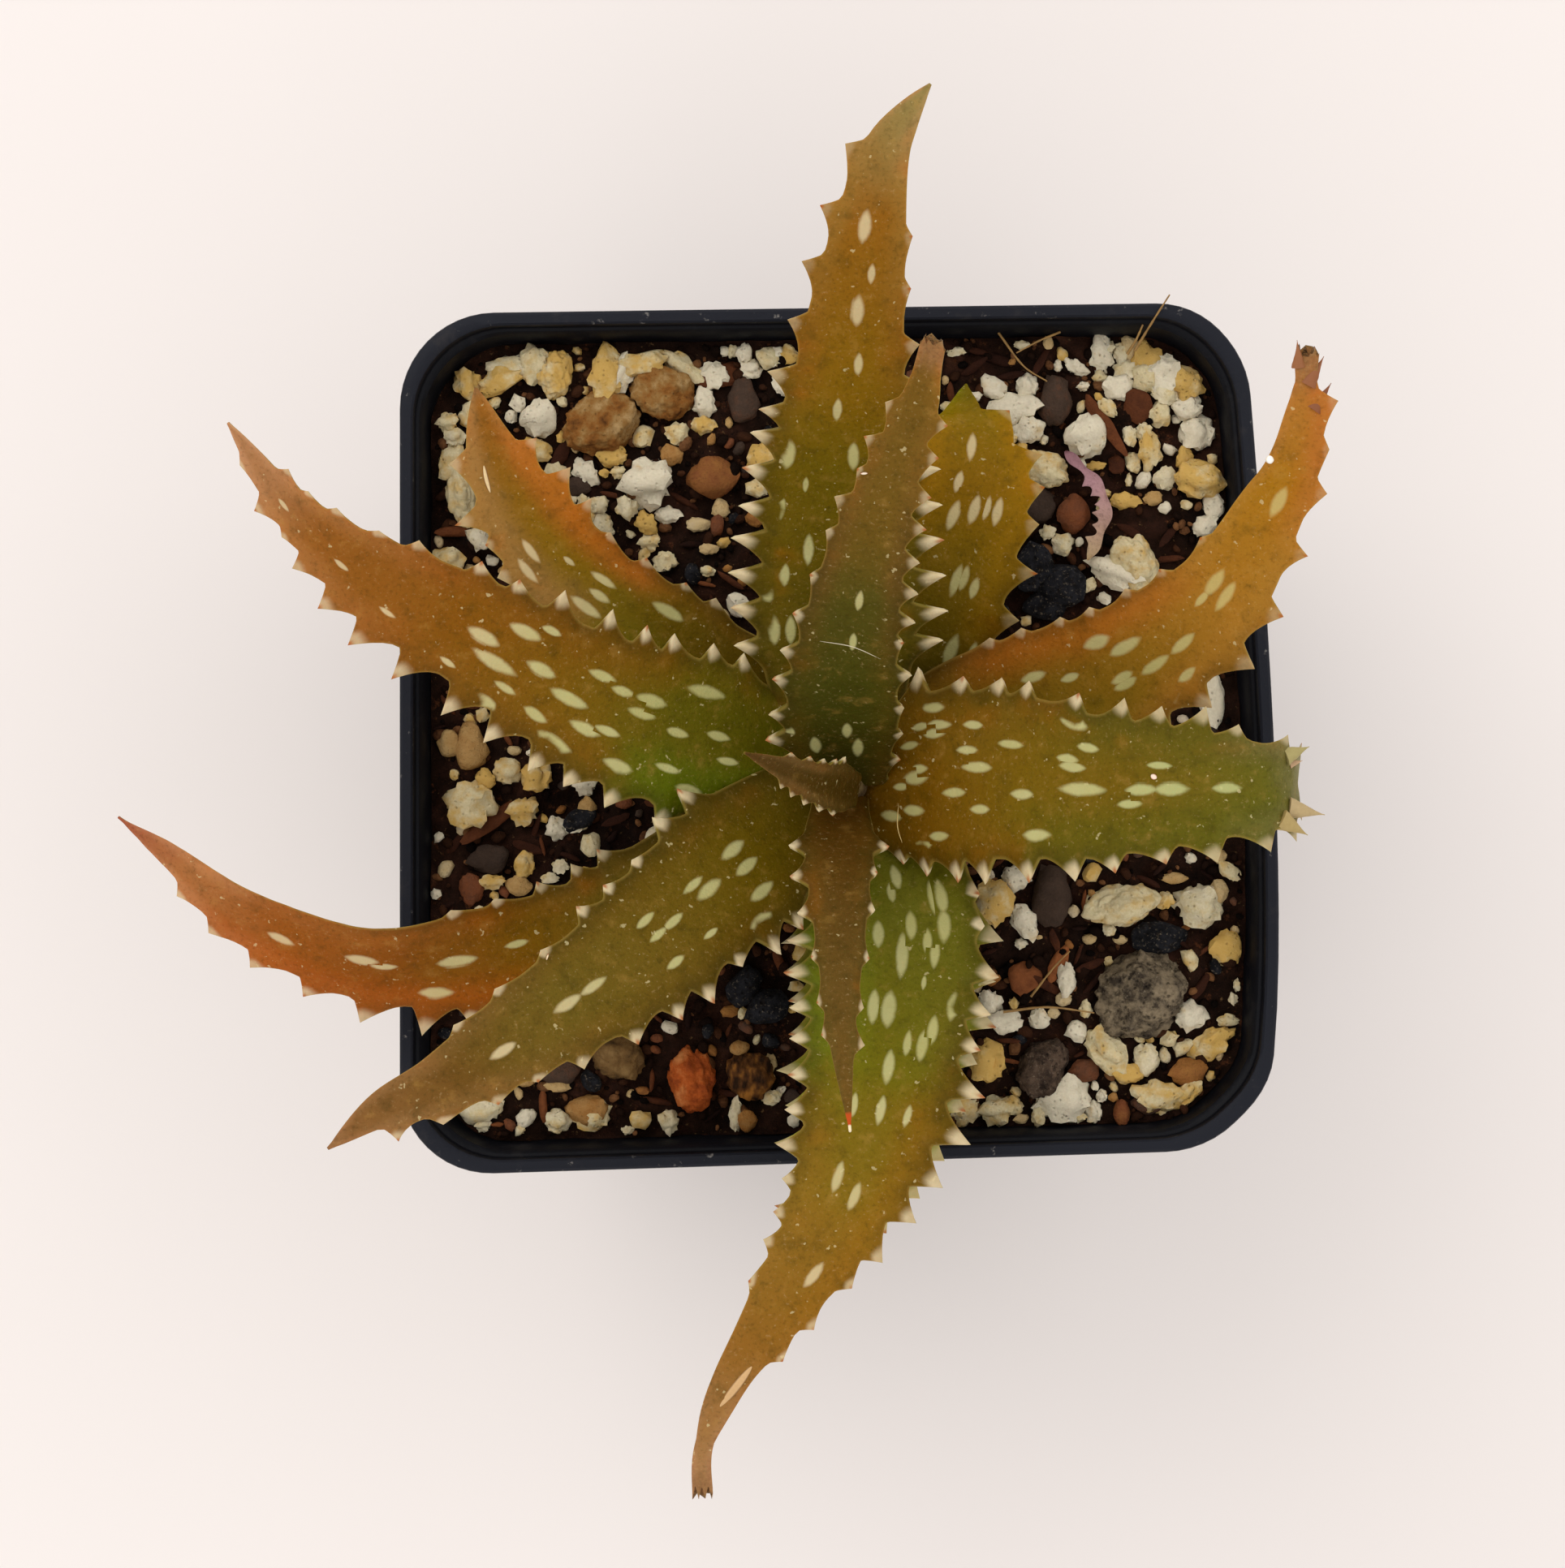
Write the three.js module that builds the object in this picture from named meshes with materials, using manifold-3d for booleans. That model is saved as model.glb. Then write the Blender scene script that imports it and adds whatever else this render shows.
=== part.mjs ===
// Potted aloe hybrid: a rosette of toothed leaves in a square, tapering nursery pot with gritty soil.
// Millimetres, +Z up. The origin is the centre of the pot's base, where the pot stands.
import * as THREE from 'three';
import { mergeVertices } from 'three/addons/utils/BufferGeometryUtils.js';
import Module from 'manifold-3d';

const wasm = await Module();
wasm.setup();

const group = new THREE.Group();

// Pot
const potHeight = 60;
const rimWidth = 62.3;
const baseWidth = 47;
const wallThickness = 0.9;
const floorThickness = 1.4;
const cornerRoundness = 0.22;
const lipHeight = 3.2;
const lipOverhang = 0.5;
const lipStepDepth = 1;
const lipStepWidth = 0.35;
// The thin rim is out of square: its right side bows, it leans to the left and two of its sides slope
const rightSideBow = 1.3;
const bowPeak = 0.56;
const rimLean = -0.6;
const rimSlope = 0.024;
const drainHoleRadius = 3.2;
const drainHoleOffset = 14.5;
const drainSlotWidth = 2.6;
const drainSlotLength = 9;
const drainSlotOffset = 17.5;

// Soil
const soilHeight = 56;
const soilRelief = 0.55;
const soilCells = 10;
const grainCount = 76;
const grainFreeRadius = 13;
const grainSmallest = 1;
const grainLargest = 2.1;
const grainEdgeRoom = 2.6;

// Crown and stem
const crown = new THREE.Vector2(0.5, -3.5);
const stemRadius = 2.6;
const stemTopRadius = 1.4;
const stemFoot = 44;
const stemTop = 70;
const stemHoleRadius = 3;

// Clearance between pieces that rest on each other
const gap = 0.32;

// Leaf sections and teeth
const leafSides = 8;
const tipHalfWidth = 0.45;
const tipHalfThickness = 0.35;
const baseNarrowing = 0.3;
const toothHook = 0.7;
const toothUnevenness = 0.25;

// The leaves from the youngest to the oldest. A spine runs from the crown to the tip along the leaf's middle.
// Width is across the blade without teeth, taper holds the two powers of the narrowing towards the tip, and
// teeth holds the shares of the length where the toothed stretch starts and ends.
const leaves = [
  {
    name: 'leaf_new', color: 0x5a3a33, width: 3.4, thickness: 1.6, channel: 0.35, taper: [1.6, 0.8],
    teeth: [0.25, 0.8], toothLength: 0.6, pitch: 1.9,
    spine: [
      [1, -4, 70], [-1.5, -3.5, 77], [-4, -2.5, 82], [-6.5, -1.5, 85.5],
    ],
  },
  {
    name: 'leaf_young_bottom', color: 0x5d4a33, width: 5.6, thickness: 2.4, channel: 0.2, taper: [1.1, 0.85],
    teeth: [0.15, 0.85], toothLength: 1.1, pitch: 2.9,
    spine: [
      [0.2, -5, 66], [0, -9.5, 74], [0, -15, 81], [0, -20.5, 87], [0.5, -26.5, 92],
    ],
  },
  {
    name: 'leaf_young_top', color: 0x5b4b34, width: 8.2, thickness: 2.6, channel: 0.22, taper: [1.5, 0.9],
    teeth: [0.1, 0.9], toothLength: 1.3, pitch: 2.7,
    spine: [
      [0.5, -3, 66], [0.2, 1.5, 73.5], [0.8, 8, 82], [2.2, 14, 88.5], [4, 19.5, 93],
      [5.5, 26, 97],
    ],
  },
  {
    name: 'leaf_right', color: 0x7c6a2e, width: 12, thickness: 3.2, channel: 0.14, taper: [2, 0.62],
    teeth: [0.12, 0.97], toothLength: 1.9, pitch: 2.9,
    spine: [
      [1.5, -3.5, 63], [9, -3, 71], [18, -3.5, 78.5], [24.5, -3.5, 81.5], [29, -3.5, 81],
      [31.5, -3.5, 78], [32.3, -3.5, 73],
    ],
  },
  {
    name: 'leaf_lower_left', color: 0x6e6433, width: 10.4, thickness: 3.2, channel: 0.16, taper: [1.7, 0.8],
    teeth: [0.16, 0.93], toothLength: 1.9, pitch: 2.9,
    spine: [
      [-1.5, -4.5, 63], [-8.5, -10.5, 70], [-15.5, -16.5, 76], [-21.5, -20.5, 80], [-27.5, -24.5, 82],
      [-35, -28.5, 83],
    ],
  },
  {
    name: 'leaf_left', color: 0x8a5a2e, width: 10.6, thickness: 3.2, channel: 0.16, taper: [1.9, 0.75],
    teeth: [0.2, 0.93], toothLength: 1.9, pitch: 2.9,
    spine: [
      [-1.5, -2, 61], [-7.5, -1, 65.5], [-17, 2, 71], [-24.5, 6, 75], [-31.5, 10.5, 77],
      [-37, 15, 78], [-42.5, 21.5, 78],
    ],
  },
  {
    name: 'leaf_top', color: 0x86602c, width: 11.4, thickness: 3.3, channel: 0.16, taper: [1.5, 0.72],
    teeth: [0.18, 0.95], toothLength: 1.9, pitch: 2.7,
    spine: [
      [0.5, -1.5, 61], [0, 6, 66], [0, 16.5, 73], [0.5, 25.5, 79], [1.5, 33.5, 84],
      [3, 40, 86.5], [6, 43.5, 87],
    ],
  },
  {
    name: 'leaf_bottom', color: 0x6f7a2b, width: 11.8, thickness: 3.3, channel: 0.16, taper: [2.1, 1.15],
    teeth: [0.15, 0.8], toothLength: 1.9, pitch: 2.9,
    spine: [
      [2, -4.5, 61], [4, -12.5, 67], [3.5, -20, 72], [1.5, -30, 77], [-1, -35.5, 79],
      [-4, -39.5, 80], [-7.5, -44.5, 80], [-9.5, -49.5, 79], [-9, -53.5, 78],
    ],
  },
  {
    name: 'leaf_upper_right', color: 0x8c6429, width: 10.8, thickness: 3, channel: 0.16, taper: [2.1, 0.75],
    teeth: [0.28, 0.95], toothLength: 1.9, pitch: 2.9,
    spine: [
      [2.5, -2.5, 60], [13, 2.2, 65], [20, 5, 70.5], [25, 9, 76], [28.3, 14.5, 81],
      [30.6, 19.5, 85], [31.2, 26, 87.5],
    ],
  },
  {
    name: 'leaf_upper_left', color: 0x9a6a25, width: 9, thickness: 2.4, channel: 0.14, taper: [3, 0.8],
    teeth: [0.25, 0.9], toothLength: 1.9, pitch: 2.9,
    spine: [
      [-1, -1.5, 59], [-10, 6.5, 61], [-15.5, 10, 62], [-20.5, 13.5, 62.3], [-23.5, 17.5, 62],
      [-25.5, 21.5, 61.5], [-26.5, 25.5, 62],
    ],
  },
  {
    name: 'leaf_far_left', color: 0x9b4f33, width: 8.6, thickness: 2.5, channel: 0.15, taper: [1.5, 0.8],
    teeth: [0.25, 0.9], toothLength: 1.2, pitch: 3.2,
    spine: [
      [-1, -4.5, 58.5], [-12.5, -11.5, 62.5], [-20, -15, 65], [-27.5, -16.5, 66.8], [-34.5, -16.5, 67.5],
      [-43, -13, 67.5], [-48, -9, 67], [-52, -6, 66.5],
    ],
  },
  {
    name: 'leaf_behind', color: 0x9a7a28, width: 9.6, thickness: 2.6, channel: 0.15, taper: [3.2, 0.7],
    teeth: [0.25, 0.92], toothLength: 1.9, pitch: 2.8,
    spine: [
      [1.5, -1.5, 59], [6, 7, 61.5], [8.5, 13.5, 63.8], [10.5, 19, 64.5], [11.5, 23.5, 62.8],
      [12, 26, 59.5],
    ],
  },
  {
    name: 'leaf_under_bottom', color: 0x5d7a2c, width: 12.6, thickness: 2.6, channel: 0.12,
    taper: [2.4, 0.8], teeth: [0.25, 0.9], toothLength: 1.9, pitch: 2.9,
    spine: [
      [1.5, -4.5, 58.5], [4, -14.5, 61], [3.5, -22.5, 62.5], [2, -29.5, 64], [0, -35, 64.5],
      [-2.5, -39.5, 64.5],
    ],
  },
];

// Loose stones in the soil's surface: the middle on the plan, half sizes, turn in degrees and how far the
// middle stands above the soil
const stones = [
  {
    name: 'pumice_left', color: 0x9a8468,
    at: [-17.5, 23.5], half: [3, 2.5, 1.8], turn: 20, lift: 0.2, seed: 11,
  },
  {
    name: 'pumice_middle', color: 0x94805f,
    at: [-13, 25.9], half: [2.7, 2.2, 1.7], turn: -15, lift: 0.2, seed: 12,
  },
  {
    name: 'grit_lens', color: 0xcdbb7a,
    at: [-20.9, 27], half: [1.3, 1.9, 1.2], turn: -8, lift: 0.5, seed: 13,
  },
  {
    name: 'lava_grey', color: 0x77695c,
    at: [22.8, -19.3], half: [3.8, 3.3, 2.3], turn: 35, lift: 0.3, seed: 14,
  },
  {
    name: 'lava_brown', color: 0x5c4a3c,
    at: [15.5, -24.8], half: [2.4, 2.1, 1.7], turn: 70, lift: 0.3, seed: 15,
  },
  {
    name: 'stone_red', color: 0xa34a2d,
    at: [-10.9, -25.6], half: [1.9, 2.7, 1.7], turn: 8, lift: 0.2, seed: 16,
  },
  {
    name: 'stone_brown', color: 0x7b5a38,
    at: [-16.2, -24], half: [2.1, 2, 1.6], turn: 0, lift: 0.2, seed: 17,
  },
  {
    name: 'stone_striped', color: 0x6e563c,
    at: [-6.4, -25.4], half: [1.8, 2, 1.4], turn: 40, lift: 0.2, seed: 18,
  },
  {
    name: 'perlite_kidney', color: 0xe3dccb,
    at: [21.4, -12.6], half: [2.7, 1.6, 1.4], turn: 12, lift: 0.3, seed: 19,
  },
  {
    name: 'perlite_oval', color: 0xe6dcc0,
    at: [15.6, 20], half: [1.9, 1.4, 1.2], turn: -18, lift: 0.3, seed: 20,
  },
  {
    name: 'perlite_corner', color: 0xe9e4d6,
    at: [22.4, 13], half: [1.7, 2.2, 1.3], turn: 25, lift: 0.3, seed: 21,
  },
  {
    name: 'perlite_left', color: 0xe4d9b8,
    at: [-28, 17.8], half: [1.1, 2.1, 1.2], turn: 10, lift: 0.3, seed: 22,
  },
];
const stoneRoughness = 0.16;

// Dried scrap of a leaf that lies on the soil
const scrapRoute = [
  [17.1, 21.2, 57.2], [19.4, 18.8, 57.4], [20.1, 17.3, 57.5], [19.9, 15.6, 57.3], [18.8, 13.1, 57.1],
];
const scrapWidth = 1.1;
const scrapThickness = 0.7;

// A fixed sequence of numbers from 0 to 1, the same on each run
function seededDraws(seed) {
  let state = seed * 7919;
  return () => {
    state = (state * 1664525 + 1013904223) % 4294967296;
    return state / 4294967296;
  };
}

// Solids from geometries, and geometries from solids
function toSolid(geometry) {
  const plain = new THREE.BufferGeometry();
  plain.setAttribute('position', geometry.getAttribute('position').clone());
  plain.setIndex(geometry.index);
  const merged = mergeVertices(plain, 1e-4);
  const vertProperties = new Float32Array(merged.getAttribute('position').array);
  const triVerts = new Uint32Array(merged.index.array);
  return new wasm.Manifold(new wasm.Mesh({ numProp: 3, vertProperties, triVerts }));
}

function toGeometry(solid) {
  const mesh = solid.getMesh();
  const geometry = new THREE.BufferGeometry();
  geometry.setAttribute('position', new THREE.BufferAttribute(mesh.vertProperties, 3));
  geometry.setIndex(new THREE.BufferAttribute(mesh.triVerts, 1));
  geometry.computeVertexNormals();
  return geometry;
}

function largestBody(solid) {
  const bodies = solid.decompose();
  return bodies.reduce((best, body) => (body.volume() > best.volume() ? body : best));
}

function addPiece(name, solid, color, roughness) {
  const material = new THREE.MeshStandardMaterial({ color, roughness, metalness: 0 });
  const mesh = new THREE.Mesh(toGeometry(solid), material);
  mesh.name = name;
  group.add(mesh);
}

// A block with rounded corners that widens from its foot to its top and goes out of square on the way
function taperedBlock(footWidth, topWidth, footZ, topZ) {
  const straight = 1 - cornerRoundness;
  const outline = new THREE.Shape();
  outline.moveTo(-straight, -1);
  outline.lineTo(straight, -1);
  outline.absarc(straight, -straight, cornerRoundness, -Math.PI / 2, 0);
  outline.quadraticCurveTo(3, -bowPeak, 1, straight);
  outline.absarc(straight, straight, cornerRoundness, 0, Math.PI / 2);
  outline.lineTo(-straight, 1);
  outline.absarc(-straight, straight, cornerRoundness, Math.PI / 2, Math.PI);
  outline.lineTo(-1, -straight);
  outline.absarc(-straight, -straight, cornerRoundness, Math.PI, 1.5 * Math.PI);
  const block = new THREE.ExtrudeGeometry(outline, { depth: 1, bevelEnabled: false, curveSegments: 4 });
  const place = block.getAttribute('position');
  for (let i = 0; i < place.count; i += 1) {
    const z = THREE.MathUtils.lerp(footZ, topZ, place.getZ(i));
    const half = THREE.MathUtils.lerp(footWidth, topWidth, place.getZ(i)) / 2;
    const rise = z / potHeight;
    const bowed = Math.max(place.getX(i) - 1, 0) * rightSideBow * rise;
    const x = Math.min(place.getX(i), 1) * half + bowed;
    place.setXYZ(i, x + rimLean * rise, place.getY(i) * half + rimSlope * x * rise, z);
  }
  return toSolid(block);
}

function potWidthAt(z) {
  return THREE.MathUtils.lerp(baseWidth, rimWidth, z / potHeight);
}

function cavityBlock(inset, footZ, topZ) {
  const thinner = 2 * (wallThickness + inset);
  return taperedBlock(potWidthAt(footZ) - thinner, potWidthAt(topZ) - thinner, footZ, topZ);
}

function buildPot() {
  const lipFoot = potHeight - lipHeight;
  const wider = 2 * lipOverhang;
  const wall = taperedBlock(baseWidth, rimWidth, 0, potHeight);
  const lip = taperedBlock(potWidthAt(lipFoot) + wider, rimWidth + wider, lipFoot, potHeight);
  const step = cavityBlock(-lipStepWidth, potHeight - lipStepDepth, potHeight + 1);
  let pot = wall.add(lip).subtract(cavityBlock(0, floorThickness, potHeight + 0.5)).subtract(step);
  for (let corner = 0; corner < 4; corner += 1) {
    const turn = corner * (Math.PI / 2);
    const hole = new THREE.CylinderGeometry(drainHoleRadius, drainHoleRadius, 4 * floorThickness, 14);
    hole.rotateX(Math.PI / 2).translate(drainHoleOffset, drainHoleOffset, 0).rotateZ(turn);
    const slot = new THREE.BoxGeometry(drainSlotWidth, drainSlotLength, 4 * floorThickness);
    slot.translate(drainSlotOffset, 0, 0).rotateZ(turn);
    pot = pot.subtract(toSolid(hole)).subtract(toSolid(slot));
  }
  return pot;
}

// Soil with a bumpy top
function soilTopAt(x, y) {
  const wave = Math.sin(x * 0.61 + 1.3) * Math.cos(y * 0.53) + 0.7 * Math.sin(x * 0.27 - y * 0.71 + 0.4);
  const grit = 0.6 * Math.sin(x * 1.9 + y * 0.8) * Math.cos(y * 1.7 - x * 0.6);
  return soilHeight + soilRelief * (wave + grit) * 0.6;
}

function lump(half, turn, seed, detail, roughness, grow = 0) {
  const draw = seededDraws(seed);
  const ball = new THREE.IcosahedronGeometry(1, detail);
  ball.deleteAttribute('normal');
  ball.deleteAttribute('uv');
  const stone = mergeVertices(ball, 1e-4);
  const place = stone.getAttribute('position');
  for (let i = 0; i < place.count; i += 1) {
    const bump = 1 + roughness * (draw() * 2 - 1);
    place.setXYZ(i, place.getX(i) * bump, place.getY(i) * bump, place.getZ(i) * bump);
  }
  stone.rotateX(draw() * 3).rotateY(draw() * 3);
  stone.scale(half[0] + grow, half[1] + grow, half[2] + grow);
  return stone.rotateZ(THREE.MathUtils.degToRad(turn));
}

function stoneSolid(stone, grow) {
  const geometry = lump(stone.half, stone.turn, stone.seed, 1, stoneRoughness, grow);
  return toSolid(geometry.translate(stone.at[0], stone.at[1], soilHeight + stone.lift));
}

function buildSoil(cutters) {
  const slabSize = rimWidth + 6;
  const slab = new THREE.BoxGeometry(slabSize, slabSize, 2, soilCells, soilCells, 1);
  const place = slab.getAttribute('position');
  for (let i = 0; i < place.count; i += 1) {
    const raised = place.getZ(i) > 0;
    const z = raised ? soilTopAt(place.getX(i), place.getY(i)) : 0;
    place.setZ(i, z);
  }
  let soil = cavityBlock(gap, floorThickness + gap, potHeight - 1).intersect(toSolid(slab));
  const draw = seededDraws(5);
  const reach = potWidthAt(soilHeight) / 2 - wallThickness - grainEdgeRoom;
  for (let i = 0; i < grainCount; i += 1) {
    const x = (draw() * 2 - 1) * reach;
    const y = (draw() * 2 - 1) * reach;
    const size = grainSmallest + (grainLargest - grainSmallest) * draw() ** 2;
    const half = [size, size * 0.8, size * 0.7];
    const grain = lump(half, draw() * 360, 100 + i, 0, 0.1);
    const inCorner = Math.hypot(x, y) > reach * 1.32;
    const underCrown = Math.hypot(x - crown.x, y - crown.y) < grainFreeRadius;
    if (!inCorner && !underCrown) {
      soil = soil.add(toSolid(grain.translate(x, y, soilTopAt(x, y) + size * 0.15)));
    }
  }
  const hole = new THREE.CylinderGeometry(stemHoleRadius, stemHoleRadius, 30, 16);
  hole.rotateX(Math.PI / 2).translate(crown.x, crown.y, stemFoot - gap + 15);
  soil = soil.subtract(toSolid(hole));
  for (const cutter of cutters) {
    soil = soil.subtract(cutter);
  }
  return largestBody(soil);
}

// Stem: a short spindle with a rounded top and faint rings where old leaves sat
function stemSolid(grow) {
  const rings = 9;
  const profile = [new THREE.Vector2(0, stemFoot - grow)];
  for (let i = 0; i <= rings; i += 1) {
    const t = i / rings;
    const ringed = i % 2 === 0 ? 0 : 0.18;
    const radius = THREE.MathUtils.lerp(stemRadius, stemTopRadius, t * t) - ringed;
    const height = THREE.MathUtils.lerp(stemFoot - grow, stemTop - 1 + grow, t);
    profile.push(new THREE.Vector2(radius + grow, height));
  }
  profile.push(new THREE.Vector2(0, stemTop + grow));
  const lathe = new THREE.LatheGeometry(profile, 14);
  return toSolid(lathe.rotateX(Math.PI / 2).translate(crown.x, crown.y, 0));
}

// The leaf's own frame at a share of its length: the point, and the ways along, across and up from the blade
function leafFrame(leaf, share, grow) {
  const curve = leaf.curve;
  const t = THREE.MathUtils.clamp(share, 0, 1);
  const along = curve.getTangentAt(t);
  const point = curve.getPointAt(t);
  const across = new THREE.Vector3().crossVectors(along, new THREE.Vector3(0, 0, 1)).normalize();
  const up = new THREE.Vector3().crossVectors(across, along);
  if (share <= 0) point.addScaledVector(along, -grow);
  if (share >= 1) point.addScaledVector(along, grow);
  return { point, along, across, up };
}

function leafHalfWidth(leaf, share) {
  const narrowed = 1 - baseNarrowing * (1 - THREE.MathUtils.smoothstep(share, 0, 0.22));
  const taper = (1 - share ** leaf.taper[0]) ** leaf.taper[1];
  return Math.max(leaf.width / 2 * narrowed * taper, tipHalfWidth);
}

function leafHalfThickness(leaf, share) {
  return Math.max(leaf.thickness / 2 * (1 - share ** 1.5) ** 0.8, tipHalfThickness);
}

// Shares of the length where the blade has a section. Along the toothed stretch they are half a pitch apart,
// and teeth stand out of the two margins in turn.
function leafSections(leaf) {
  const [first, last] = leaf.teeth;
  const steps = Math.round(((last - first) * leaf.curve.getLength()) / (leaf.pitch / 2));
  const draw = seededDraws(leaf.name.length + leaf.spine.length);
  const sections = [{ share: 0, tooth: 0 }, { share: first / 2, tooth: 0 }];
  for (let i = 0; i <= steps; i += 1) {
    const share = first + ((last - first) * (i + toothUnevenness * (draw() - 0.5))) / steps;
    sections.push({ share, tooth: leaf.toothLength * (1 - toothUnevenness * draw()) });
  }
  sections.push({ share: (1 + last) / 2, tooth: 0 }, { share: 1, tooth: 0 });
  return sections;
}

// A blade is a tube of sections, flattened, hollowed along its upper face and drawn out into the teeth, whose
// points lean towards the tip
function leafSolid(leaf, grow) {
  const sections = leafSections(leaf);
  const blade = new THREE.CylinderGeometry(1, 1, 1, leafSides, sections.length - 1);
  const place = blade.getAttribute('position');
  for (let i = 0; i < place.count; i += 1) {
    const side = place.getX(i);
    const height = place.getZ(i);
    const index = Math.round((place.getY(i) + 0.5) * (sections.length - 1));
    const { share, tooth } = sections[index];
    const { point, along, across, up } = leafFrame(leaf, share, grow);
    const halfWidth = leafHalfWidth(leaf, share);
    const halfThickness = leafHalfThickness(leaf, share) + grow;
    const thicker = height > 0 ? 0.7 : 1.3;
    const rise = leaf.channel * halfWidth * side * side + height * thicker * halfThickness;
    point.addScaledVector(across, side * (halfWidth + grow)).addScaledVector(up, rise);
    const onMargin = Math.abs(side) > 0.99;
    const turnOfSide = index % 2 === (side > 0 ? 0 : 1);
    if (onMargin && turnOfSide && tooth > 0) {
      const size = Math.min(1, 0.35 + 0.9 * Math.sqrt(1 - share));
      point.addScaledVector(across, Math.sign(side) * tooth * size);
      point.addScaledVector(up, leaf.channel * tooth * size);
      point.addScaledVector(along, toothHook * size);
    }
    place.setXYZ(i, point.x, point.y, point.z);
  }
  return toSolid(blade);
}

// Scrap: a thin strip with three small teeth along one edge
function scrapSolid(grow) {
  const route = new THREE.CatmullRomCurve3(scrapRoute.map((p) => new THREE.Vector3(...p)));
  const halfThickness = scrapThickness / 2 + grow;
  const halfWidth = scrapWidth / 2 + grow;
  const section = new THREE.Shape();
  section.moveTo(-halfThickness, 0);
  section.lineTo(0, -halfWidth);
  section.lineTo(halfThickness, 0);
  section.lineTo(0, halfWidth);
  const sweep = { steps: 14, extrudePath: route, bevelEnabled: false };
  let strip = toSolid(new THREE.ExtrudeGeometry(section, sweep));
  for (const share of [0.2, 0.42, 0.64, 0.86]) {
    const point = route.getPointAt(share);
    const along = route.getTangentAt(share);
    const outward = new THREE.Vector3().crossVectors(new THREE.Vector3(0, 0, 1), along).normalize();
    const up = new THREE.Vector3().crossVectors(along, outward);
    const tooth = new THREE.ConeGeometry(1, 1, 4, 1);
    tooth.scale(0.4 + grow, 1.1 + grow, 0.3 + grow).translate(0, 0.5, 0);
    const seat = new THREE.Matrix4().makeBasis(along, outward, up).setPosition(point);
    strip = strip.add(toSolid(tooth.applyMatrix4(seat)));
  }
  return largestBody(strip);
}

// Each piece is cut clear of those that lie on or in it; the stem and the young leaves keep their shape
const cutters = [stemSolid(gap)];
const plantPieces = [];
for (const leaf of leaves) {
  const spine = leaf.spine.map((point) => new THREE.Vector3(...point));
  leaf.curve = new THREE.CatmullRomCurve3(spine, false, 'centripetal');
  let solid = leafSolid(leaf, 0);
  for (const cutter of cutters) {
    solid = solid.subtract(cutter);
  }
  cutters.push(leafSolid(leaf, gap));
  plantPieces.push([leaf.name, largestBody(solid), leaf.color]);
}

addPiece('pot', buildPot(), 0x1d1d20, 0.55);
for (const stone of stones) {
  let solid = stoneSolid(stone, 0);
  for (const cutter of cutters) {
    solid = solid.subtract(cutter);
  }
  addPiece(stone.name, largestBody(solid), stone.color, 0.9);
}
const stoneCutters = stones.map((stone) => stoneSolid(stone, gap));
addPiece('soil', buildSoil([...cutters, ...stoneCutters, scrapSolid(gap)]), 0x2b1a12, 0.95);
addPiece('stem', stemSolid(0), 0x6d5a3a, 0.8);
for (const [name, solid, color] of plantPieces) {
  addPiece(name, solid, color, 0.5);
}
addPiece('dried_leaf_scrap', scrapSolid(0), 0xa8617a, 0.8);

export default group;
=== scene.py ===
# Potted aloe hybrid: a rosette of toothed, flecked leaves in a square black nursery pot with gritty soil.
import bisect
import math
import random

import bpy
from mathutils import Euler, Matrix, Vector, noise


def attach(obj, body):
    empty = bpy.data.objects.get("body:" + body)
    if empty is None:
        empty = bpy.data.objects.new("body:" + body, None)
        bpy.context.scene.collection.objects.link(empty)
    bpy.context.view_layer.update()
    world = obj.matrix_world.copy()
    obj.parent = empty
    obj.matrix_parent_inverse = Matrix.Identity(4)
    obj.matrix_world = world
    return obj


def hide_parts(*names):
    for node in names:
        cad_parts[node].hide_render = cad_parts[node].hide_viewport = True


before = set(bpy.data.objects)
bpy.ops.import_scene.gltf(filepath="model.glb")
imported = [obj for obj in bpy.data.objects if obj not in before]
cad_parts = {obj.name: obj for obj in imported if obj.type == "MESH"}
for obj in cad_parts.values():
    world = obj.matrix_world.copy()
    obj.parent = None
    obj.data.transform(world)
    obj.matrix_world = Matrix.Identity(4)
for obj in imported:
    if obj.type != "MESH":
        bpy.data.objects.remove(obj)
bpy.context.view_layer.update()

mm = 0.001
photoWidth = 1928
photoHeight = 1932


# Camera, light and floor

cameraValues = {
    "over": (-3.96, -3.6),      # the point on the plan under the image's middle, mm
    "height": 360.0,            # above the floor, mm
    "rimHeight": 60.0,
    "pixel": 0.06,              # mm on the plane of the rim
    "sensor": 36.0,
    "clip": (0.01, 10),         # m
}


def addCamera(values):
    reach = values["height"] - values["rimHeight"]
    data = bpy.data.cameras.new("camera")
    data.sensor_fit = "HORIZONTAL"
    data.sensor_width = values["sensor"]
    data.lens = values["sensor"] * reach / (values["pixel"] * photoWidth)
    data.clip_start, data.clip_end = values["clip"]
    camera = bpy.data.objects.new("camera", data)
    camera.location = (values["over"][0] * mm, values["over"][1] * mm, values["height"] * mm)
    bpy.context.collection.objects.link(camera)
    bpy.context.scene.camera = camera


def pixelSize(z):
    # mm that one pixel of the photograph spans at height z
    reach = cameraValues["height"] - cameraValues["rimHeight"]
    return cameraValues["pixel"] * (cameraValues["height"] - z) / reach


def seenAt(pixel, z):
    # the point at height z, in mm, that the photograph shows at this pixel
    step = pixelSize(z)
    x = cameraValues["over"][0] + (pixel[0] - photoWidth / 2) * step
    y = cameraValues["over"][1] - (pixel[1] - photoHeight / 2) * step
    return Vector((x, y, z))


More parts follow.
